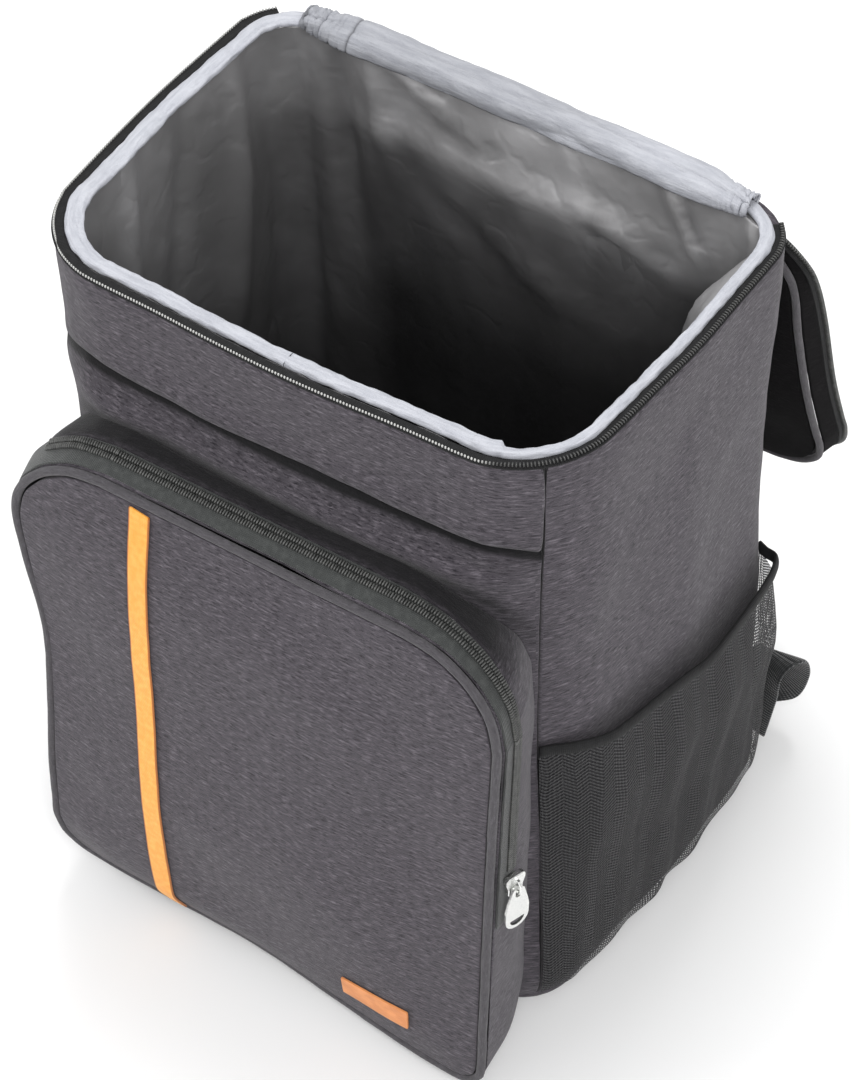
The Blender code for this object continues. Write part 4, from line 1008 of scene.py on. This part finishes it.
def ribbon_rail(node, start, heading, pace, away_from):
    """A rail for a flat long solid. Its across direction is its cross-section's long way."""
    found = rings(node, start, heading, 4)
    first = found[0]
    pairs = sorted(itertools.combinations(range(4), 2), key=lambda p: (first[p[0]] - first[p[1]]).length)
    i, j = pairs[len(pairs) // 2]
    centres = [middle_of(ring) for ring in found]
    across = [(ring[j] - ring[i]).normalized() * ASIDE for ring in found]
    return Rail(centres, across, pace, away_from=away_from)


def lay_tape(node, name, rail, half_width):
    """A zip's tape: thin, flat, and soft at its edges."""
    keep(name, strip(rail, round_section(half_width, 0.0006, 0.5), 16), BLACK_TAPE, node)


def as_it_is(spot):
    return 1.0, 0.0


def teeth_along(rail, pitch, tooth, shift=0.0, start=0.0, grown=as_it_is, row=None):
    """A row of small bevelled bars across a rail, one every `pitch`: half of a coil zip. grown gives
    each bar's own width, as a share, and how far across it stands. row is a row to add them to."""
    bar = bmesh.new()
    bmesh.ops.create_cube(bar, size=1.0)
    bmesh.ops.bevel(
        bar, geom=bar.edges, offset=0.22, segments=1, profile=0.5, affect="EDGES", material=-1
    )
    shape = bpy.data.meshes.new("bar")
    bar.to_mesh(shape)
    bar.free()
    row = row or bmesh.new()
    for n in range(int((rail.length - start) / pitch)):
        place = (start + (n + 0.5) * pitch) / rail.length * (len(rail.points) - 1)
        k = min(int(place), len(rail.points) - 2)
        spot = rail.points[k].lerp(rail.points[k + 1], place - k)
        along, across, out = rail.along[k], rail.across[k], rail.out[k]
        width, aside = grown(spot)
        spot = spot + across * (shift + aside)
        sides = (along * tooth[0], across * tooth[1] * width, out * tooth[2])
        turn = Matrix(sides).transposed().to_4x4()
        before = len(row.verts)
        row.from_mesh(shape)
        row.verts.ensure_lookup_table()
        bmesh.ops.transform(row, matrix=Matrix.Translation(spot) @ turn, verts=row.verts[before:])
    bpy.data.meshes.remove(shape)
    return row


def rim_tooth(spot):
    """Along the front only the tips of the teeth stand out of the cloth, at its very edge."""
    front = ramp(-spot.x, -0.108, -0.096)
    left = ramp(-spot.x, 0.118, 0.124)
    return 1 - 0.70 * (front + left), TOOTH_ASIDE * (front - 0.8 * left)


def make_rim():
    start = (-0.130, 0.087, 0.3735)
    below = (0, 0, -1)
    tape = ribbon_rail("rim_zip_tape", start, FRONTWARD, PACE, below)
    lay_tape("rim_zip_tape", "rim_tape_cloth", tape, 0.0027)
    teeth = ribbon_rail("rim_zip_teeth", start, FRONTWARD, PACE, below)
    row = teeth_along(teeth, 0.00150, (0.0008, 0.0021, 0.0013), grown=rim_tooth)
    keep("rim_coil", row, RIM_NYLON_PAINTED_HIGHLIGHT, node="rim_zip_teeth")
    ring = rings("rim_binding", (0.0, -0.0839, 0.3745), (1, 0, 0), 6)
    centres = [middle_of(r) for r in ring]
    inward = [Vector((-c.x, -c.y, 0)).normalized() * ASIDE for c in centres]
    rail = Rail(centres, inward, PACE, closed=True, away_from=below)
    last = len(rail.points) - 1

    def section(s, v):
        turn = 2 * math.pi * v
        spot = rail.points[min(round(s / rail.length * last), last)]
        rightward = ramp(spot.x, 0.1000, 0.1015)
        leftward = ramp(-spot.x, 0.10, 0.12)
        width = 0.0036 - 0.0011 * rightward * (1 - 0.5 * ramp(spot.y, 0.02, 0.07))
        place = Vector((s / 0.022, 3.0, 0))
        wide = width * (1 + (0.05 + 0.20 * leftward) * noise.noise(place)) + 0.0006 * leftward
        end = ramp(spot.x, 0.088, 0.0885) * (1 - rightward) * ramp(-spot.y, 0, 0.01)
        tall = (0.0020 + 0.0007 * end) * (1 + 0.25 * noise.noise(place + Vector((9, 0, 0))))
        pucker = 0.0005 * noise.noise(Vector((s / 0.0050, math.cos(turn) * 1.5, math.sin(turn) * 1.5)))
        sewn = 0.5 + 0.5 * math.cos(2 * math.pi * s / STITCH)
        stitch = -0.0005 * bell(math.cos(turn) - 0.45, 0.25) * sewn
        across = (wide + pucker) * math.cos(turn)
        out = (tall + pucker + stitch) * math.copysign(abs(math.sin(turn)) ** 0.7, math.sin(turn))
        drift = 0.0008 * noise.noise(Vector((s / 0.03, 20.0, 0))) * (0.4 + leftward)
        drift += 0.0005 - 0.0019 * rightward
        return across + drift, out - 0.0004

    keep("rim_binding_cloth", strip(rail, section, 28), PALE, node="rim_binding")


make_rim()

# %% [markdown]
# ## Back band
# Along the back, the same pale cloth is wider: it runs from inside the mouth over the edge to the
# lid, and works as the lid's hinge. Folding the lid back has pressed long creases into it, and it is
# gathered at both ends where it meets the rim's binding.

# %% Back band
BAND_HALF = 0.1145
BAND_SEAM = -0.089
BAND_SHAPE = (
    (0.0824, 0.3712), (0.0828, 0.3740), (0.0845, 0.3775), (0.0875, 0.3792),
    (0.0915, 0.3798), (0.0955, 0.3784), (0.0988, 0.3745), (0.0995, 0.3690),
    (0.1008, 0.3590), (0.1020, 0.3510),
)
SLEEVE = 0.0042
SLEEVE_MIDDLE = (0, 0.0879, 0.3747)


def make_back_band():
    profile, length = spline([Vector((0, y, z)) for y, z in BAND_SHAPE], False, 0.0010)
    last = len(profile) - 1

    def gathered(x):
        """1 where the band is gathered at an end, more widely at the left."""
        return bell(BAND_HALF - x, 0.010) + bell(BAND_HALF + x, 0.016)

    def bunches(x, v):
        return 1 - 3 * abs(noise.noise(Vector((x * 380, v * 6, 4.0))))

    def place(u, v):
        k = round(v * last)
        point = profile[k].copy()
        run = (profile[min(k + 1, last)] - profile[max(k - 1, 0)]).normalized()
        out = Vector((0, -run.z, run.y))
        x = (0.5 - u) * 2 * BAND_HALF
        angle = math.radians(200 - 250 * v)
        sleeve = Vector(SLEEVE_MIDDLE) + SLEEVE * Vector((0, math.cos(angle), math.sin(angle)))
        point = point.lerp(sleeve, ramp(abs(x), BAND_HALF - 0.024, BAND_HALF) ** 1.4)
        point.x = x
        sway = 1.6 * noise.noise(Vector((u * 4, 0, 0))) + 0.5 * noise.noise(Vector((u * 14, 3, 0)))
        pleats = (abs(math.sin(v * 11 + sway)) - 0.5) * 0.0017
        long_waves = 0.0010 * noise.noise(Vector((u * 6, v * 4, 1.0)))
        small = 0.0003 * noise.noise(Vector((u * 40, v * 9, 7.0)))
        bunch = gathered(x) * 0.0016 * bunches(x, v)
        seam = -0.0006 * bell(x - BAND_SEAM, 0.0009)
        return point + out * (pleats + long_waves + small + bunch + seam)

    bm = grid(420, 44, place, lambda u, v: (u * 2 * BAND_HALF, v * length))
    bmesh.ops.recalc_face_normals(bm, faces=bm.faces)

    # Painted shade on the band: darker over all but its right end (away), in a line along its seam, and in
    # the hollows between its gathers (holes).
    def painted_shade_on_band(spot):
        holes = ramp(-bunches(spot.x, spot.z * 20), 0.15, 0.6) * bell(BAND_HALF - 0.008 + spot.x, 0.009)
        away = 0.06 + 0.20 * ramp(-spot.x, -0.070, -0.010)
        return away + 0.50 * bell(spot.x - BAND_SEAM, 0.0008) + 0.75 * holes

    shade(bm, [painted_shade_on_band])
    bmesh.ops.solidify(bm, geom=bm.faces, thickness=0.0008)
    keep("back_band_cloth", bm, PALE, node="hinge_flap")


make_back_band()

# %% [markdown]
# ## Lid
# The lid hangs behind the back on its hinge. It is a padded panel with a grey piping, a side band and
# the other half of the zip. Its foil face is turned outwards now.

# %% Lid
DOWNWARD = (0, 0, -1)
LID_MIDDLE = (0, 0.13, 0.25)


def lay_piping(node, start, radius, middle):
    """Piping sewn round a panel: a cord of slightly uneven thickness."""
    centres = [middle_of(ring) for ring in rings(node, start, (1, 0, 0), 6)]
    across = [(c - Vector(middle)).normalized() * ASIDE for c in centres]
    rail = Rail(centres, across, 0.003, closed=True)

    def section(s, v):
        c, n = math.cos(2 * math.pi * v), math.sin(2 * math.pi * v)
        grown = radius * (1 + 0.08 * noise.noise(Vector((s / 0.01, c, n))))
        return grown * c, grown * n

    keep(f"{node}_cloth", strip(rail, section, 12), CHARCOAL_PLAIN, node)


def make_lid():
    bm = soft_copy("lid_panel", cuts=1, levels=3)
    press(bm, [ripple(0.050, 0.0014, seed=21.0)])
    # The lid's panel and side band get the charcoal in painted shade, nearly black.
    keep("lid_panel_cloth", bm, CHARCOAL_IN_PAINTED_SHADE, node="lid_panel")
    bm = soft_copy("lid_liner", cuts=1, levels=3)
    press(bm, [ripple(0.040, 0.0016, seed=23.0), ripple(0.014, 0.0005, seed=29.0)])
    keep("lid_foil", bm, FOIL, node="lid_liner")
    bm = soft_copy("lid_gusset", cuts=1, levels=2)
    keep("lid_gusset_cloth", bm, CHARCOAL_IN_PAINTED_SHADE, node="lid_gusset")
    lay_piping("lid_piping", (0.0, 0.150, 0.145), 0.0018, (0, 0.12, 0.24))
    start = (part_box("lid_zip_tape")[0][0], 0.105, 0.33)
    tape = ribbon_rail("lid_zip_tape", start, DOWNWARD, 0.002, LID_MIDDLE)
    lay_tape("lid_zip_tape", "lid_tape_cloth", tape, 0.0023)
    teeth = ribbon_rail("lid_zip_teeth", start, DOWNWARD, 0.002, LID_MIDDLE)
    row = teeth_along(teeth, 0.00145, (0.0008, 0.0024, 0.0017))
    keep("lid_coil", row, NYLON, node="lid_zip_teeth")


make_lid()

# %% [markdown]
# ## Front pocket
# The pocket is a panel with a side cloth, its gusset, and a piping of its own cloth between them. The
# panel is crowned by what little is in the pocket, and pulled in a little along the piping.

# %% Front pocket
POCKET_MIDDLE = (0.005, -0.14, 0.15)
POCKET_FACE = (-0.120, 0.130, 0.007, 0.296)
TAPE_BACK = -0.1190


def pocket_wave(size, depth, seed):
    """Waves of the pocket's front, which fade towards the piping that the panel is sewn to."""
    wave = ripple(size, depth, seed=seed)

    def move(place, normal):
        share = ramp(-beyond_edge(place.x, place.z, POCKET_FACE, POCKET_ROUND), 0.006, 0.024)
        return wave(Vector((place.x, 0, place.z)), Vector(FRONTWARD)) * share

    return move


POCKET_WAVES = [pocket_wave(0.070, 0.0024, 31.0), pocket_wave(0.022, 0.0004, 33.0)]


def behind_tape(place):
    """The painted shade on the pocket's top, behind the zip's tape, made lighter along one line as a
    painted highlight on a low ridge of the gusset.
    """
    # Painted shade, eased along one line where a ridge of the gusset would catch the light.
    painted_shade_lit_ridge = 0.9 - 0.35 * bell(place.y - TAPE_BACK - 0.0045, 0.0016)
    return painted_shade_lit_ridge * ramp(place.y, TAPE_BACK - 0.0006, TAPE_BACK + 0.0006) * ramp(place.z, 0.262, 0.284)


def make_pocket():
    bm = soft_copy("pocket_panel", cuts=1, levels=3, crease=0.9)
    press(bm, POCKET_WAVES)
    keep("pocket_panel_cloth", bm, CHARCOAL, node="pocket_panel")
    bm = soft_copy("pocket_gusset", cuts=1, levels=2)
    shade(bm, [behind_tape])
    press(bm, [ripple(0.040, 0.0012, seed=35.0)])
    keep("pocket_gusset_cloth", bm, CHARCOAL, node="pocket_gusset")
    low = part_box("pocket_piping")[0]
    lay_piping("pocket_piping", (0.0, low[1], low[2]), 0.0021, POCKET_MIDDLE)


make_pocket()

# %% [markdown]
# ## Pocket zip
# This zip is closed, so both halves of the coil show, side by side, with the line where they mesh
# between them. The tape lies in low folds beside them.

# %% Pocket zip
COIL_PITCH = 0.00135
COIL_ASIDE = 0.00155


def painted_shade_beside_slider(place):
    """Painted shade: the tape lies deeper down the pocket's right side, and is painted darker there."""
    return 0.60 * ramp(place.x, 0.118, 0.129) * ramp(-place.z, -0.275, -0.240)


def make_pocket_zip():
    bm = soft_copy("pocket_zip_tape", cuts=1, levels=2)
    shade(bm, [painted_shade_beside_slider])
    keep("pocket_tape_cloth", bm, POCKET_TAPE, node="pocket_zip_tape")
    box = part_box("pocket_zip_teeth")
    start = (box[1][0], box[0][1], box[0][2])
    teeth = ribbon_rail("pocket_zip_teeth", start, (0, 0, 1), 0.0015, POCKET_MIDDLE)
    size = (0.0008, 0.0029, 0.0016)
    near = teeth_along(teeth, COIL_PITCH, size, shift=COIL_ASIDE)
    both = teeth_along(teeth, COIL_PITCH, size, shift=-COIL_ASIDE, start=0.00065, row=near)
    keep("pocket_coil", both, NYLON, node="pocket_zip_teeth")


make_pocket_zip()

# %% [markdown]
# ## Stripe and patch
# A strip of bright webbing is sewn down the pocket, and a small leather patch near its foot. Both are
# thin, and follow the panel behind them.

# %% Stripe and patch
STRIPE_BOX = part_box("stripe")
STRIPE_MIDDLE = (STRIPE_BOX[0][0] + STRIPE_BOX[1][0]) / 2
STRIPE_TOP = STRIPE_BOX[1][2]
STRIPE_SLANT = 0.18


def upright_cloth(bm):
    """Change the stripe's cloth map so that it reads along the stripe and across it."""
    uv = bm.loops.layers.uv["cloth"]
    for face in bm.faces:
        for loop in face.loops:
            loop[uv].uv = (loop.vert.co.z, loop.vert.co.x - STRIPE_MIDDLE)


def slanted_end(place, normal):
    """The stripe's top is cut at a slant, higher at the left."""
    lower = STRIPE_SLANT * (place.x - STRIPE_MIDDLE) + 0.0006
    return Vector((0, 0, -lower)) * ramp(place.z, STRIPE_TOP - 0.006, STRIPE_TOP)


def make_trim():
    bm = soft_copy("stripe", cuts=1, levels=2, crease=0.6)
    upright_cloth(bm)
    press(bm, POCKET_WAVES + [slanted_end])
    keep("stripe_webbing", bm, STRIPE_CLOTH, node="stripe")
    bm = soft_copy("label_patch", cuts=1, levels=2, crease=0.5)
    press(bm, POCKET_WAVES)
    keep("patch_leather", bm, LEATHER, node="label_patch")


make_trim()

# %% [markdown]
# ## Slider and pull tab
# The slider and its tab are cast metal, and the CAD solids already have their true shape. They only
# need their finish.

# %% Slider and pull tab
for node in ("pocket_zip_slider", "pocket_zip_pull"):
    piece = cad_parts[node]
    for place in piece.material_slots:
        place.material = METAL

# %% [markdown]
# ## Net pockets
# Each side has a pocket of fine black net, slack enough to stand off the wall behind the middle. The
# CAD net is a coarse grid with open gaps. We read its grid and lay one smooth sheet through it, let
# the sheet hang in soft upright folds, and leave the holes, which are a millimetre wide, to the
# material.

# %% Net pockets


def net_lattice(node, outward):
    """The outer corner points of a coarse net, as columns from its foot to its top."""
    bm = solid_copy(node)
    foot = min(v.co.z for v in bm.verts)
    starts = sorted((v for v in bm.verts if v.co.z < foot + 0.0006), key=lambda v: v.co.y)
    columns = []
    for v in starts:
        column = [v]
        while True:
            here = column[-1]
            rising = [e.other_vert(here) for e in here.link_edges]
            rising = [o for o in rising if o.co.z - here.co.z > (o.co.xy - here.co.xy).length]
            if not rising:
                break
            column.append(min(rising, key=lambda o: (o.co.xy - here.co.xy).length))
        columns.append([w.co.copy() for w in column])
    longest = max(len(c) for c in columns)
    columns = [c for c in columns if len(c) == longest]
    pairs = [max(a, b, key=lambda c: c[0].x * outward) for a, b in zip(columns[::2], columns[1::2])]
    bm.free()
    return pairs


def smooth_at(points, share):
    """A point part of the way along a row of points, on a smooth line through them."""
    place = min(max(share, 0), 1) * (len(points) - 1)
    k = min(int(place), len(points) - 2)
    near = (points[min(max(k + i, 0), len(points) - 1)] for i in (-1, 0, 1, 2))
    return bend(*near, place - k)


for side, outward in (("right", 1), ("left", -1)):
    lattice = net_lattice(f"net_pocket_{side}", outward)
    print("net", side, "has", len(lattice), "columns of", len(lattice[0]), "points")

# %% Net sheets
NET_UP, NET_ALONG = 30, 40
NET_PACE = 0.004


def even_rows(lattice):
    """Columns whose points are evenly spread, so that the sheet's threads are too."""
    spread = []
    for column in lattice:
        points, _ = spline(column, False, NET_PACE)
        spread.append([smooth_at(points, k / NET_UP) for k in range(NET_UP + 1)])
    rows = []
    for k in range(NET_UP + 1):
        across, _ = spline([column[k] for column in spread], False, NET_PACE)
        rows.append([smooth_at(across, j / NET_ALONG) for j in range(NET_ALONG + 1)])
    return rows


def make_net(side, outward):
    node = f"net_pocket_{side}"
    rows = even_rows(net_lattice(node, outward))
    middle_row, middle_column = rows[NET_UP // 2], [row[NET_ALONG // 2] for row in rows]
    width, height = (
        sum((b - a).length for a, b in zip(line, line[1:])) for line in (middle_row, middle_column)
    )

    def place(u, v):
        k = min(int(v * NET_UP), NET_UP - 1)
        low, high = (smooth_at(row, u) for row in rows[k:k + 2])
        point = low.lerp(high, v * NET_UP - k)
        out = Vector((outward * 0.8, 0.35, 0)).normalized()
        slack = math.sin(math.pi * min(u * 1.02, 1)) * math.sin(math.pi * min(0.15 + 0.85 * v, 1)) ** 0.5
        folds = 0.0016 * math.sin(u * 34 + 3 * noise.noise(Vector((u * 3, v * 2.0, 5)))) * slack
        waves = 0.0014 * noise.noise(Vector((u * 9, v * 7, outward * 3.0))) * slack
        return point + out * (folds + waves)

    bm = grid(120, 100, place, lambda u, v: (u * width, v * height))
    piece = keep(f"{node}_mesh", bm, NET, node=node)
    flat = (round(width, 3), round(height, 3))
    return flat


def make_hem(side):
    node = f"net_hem_{side}"
    found = rings(node, far_end(node, (0, -1, 0)), (0, 1, 0), 6)
    centres = [middle_of(r) for r in found]
    rail = Rail(centres, [Vector((0, 0, ASIDE))] * len(centres), 0.002, away_from=(0, 0, 0.18))

    def section(s, v):
        turn = 2 * math.pi * v
        fuzz = 1 + 0.10 * noise.noise(Vector((s / 0.006, math.cos(turn), math.sin(turn))))
        return 0.0036 * math.cos(turn) * fuzz, 0.0015 * math.sin(turn) * fuzz

    keep(f"{node}_cloth", strip(rail, section, 14), BLACK_TAPE, node=node)


for side, outward in (("right", 1), ("left", -1)):
    print("Flat net", side, make_net(side, outward))
    make_hem(side)

# %% [markdown]
# ## Straps
# The padded straps lie against the back. At their lower ends they have a buckle and a loop of
# webbing that is sewn in at the pack's rear corner, and the right loop stands out beside the pack.

# %% Straps


def make_straps():
    for side, sign in (("right", 1), ("left", -1)):
        node = f"shoulder_strap_{side}"
        bm = soft_copy(node, cuts=1, levels=3, crease=0.2)
        press(bm, [ripple(0.030, 0.0008, seed=41.0 + sign)])
        keep(f"{node}_cloth", bm, CHARCOAL, node=node)
        node = f"strap_webbing_{side}"
        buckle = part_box(f"strap_buckle_{side}")
        start = ((buckle[0][0] + buckle[1][0]) / 2, (buckle[0][1] + buckle[1][1]) / 2, buckle[0][2])
        rail = ribbon_rail(node, start, DOWNWARD, 0.002, (sign * 0.10, 0.14, 0.045))
        bm = strip(rail, round_section(0.0125, 0.0010, 0.35), 28)
        keep(f"{node}_cloth", bm, BLACK_WEBBING, node=node)
        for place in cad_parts[f"strap_buckle_{side}"].material_slots:
            place.material = PLASTIC


make_straps()

# %% [markdown]
# ## Studio
# A plain pale floor and background, one large soft light from above and in front, and two weaker
# ones that open up the shadows. Nothing here belongs to the pack.

# %% Studio


def soft_light(name, place, target, size, power):
    lamp = bpy.data.lights.new(name, "AREA")
    lamp.shape = "SQUARE"
    lamp.size = size
    lamp.energy = power
    thing = bpy.data.objects.new(name, lamp)
    thing.location = place
    thing.rotation_euler = (Vector(target) - Vector(place)).to_track_quat("-Z", "Y").to_euler()
    bpy.context.scene.collection.objects.link(thing)


def make_studio():
    bm = bmesh.new()
    bmesh.ops.create_grid(bm, x_segments=8, y_segments=8, size=6.0)
    mesh = bpy.data.meshes.new("floor")
    bm.to_mesh(mesh)
    bm.free()
    floor = bpy.data.objects.new("floor", mesh)
    bpy.context.scene.collection.objects.link(floor)
    material, tree, shader, _ = new_material("pale_floor")
    feed(tree, shader, Base_Color=(0.92, 0.92, 0.92), Roughness=0.9, Specular_IOR_Level=0.1)
    mesh.materials.append(material)
    world = bpy.data.worlds.new("studio")
    world.use_nodes = True
    sky = world.node_tree.nodes["Background"]
    sky.inputs["Color"].default_value = (1, 1, 1, 1)
    sky.inputs["Strength"].default_value = 0.76
    bpy.context.scene.world = world
    soft_light("key", (1.1, -1.2, 1.9), (0, 0, 0.2), 0.9, 25)
    soft_light("fill", (-1.5, -0.9, 1.3), (0, 0, 0.2), 1.2, 10)
    soft_light("top", (-0.3, 0.7, 2.1), (0, 0, 0.3), 0.9, 20)
    bpy.context.scene.view_settings.view_transform = "Standard"


make_studio()
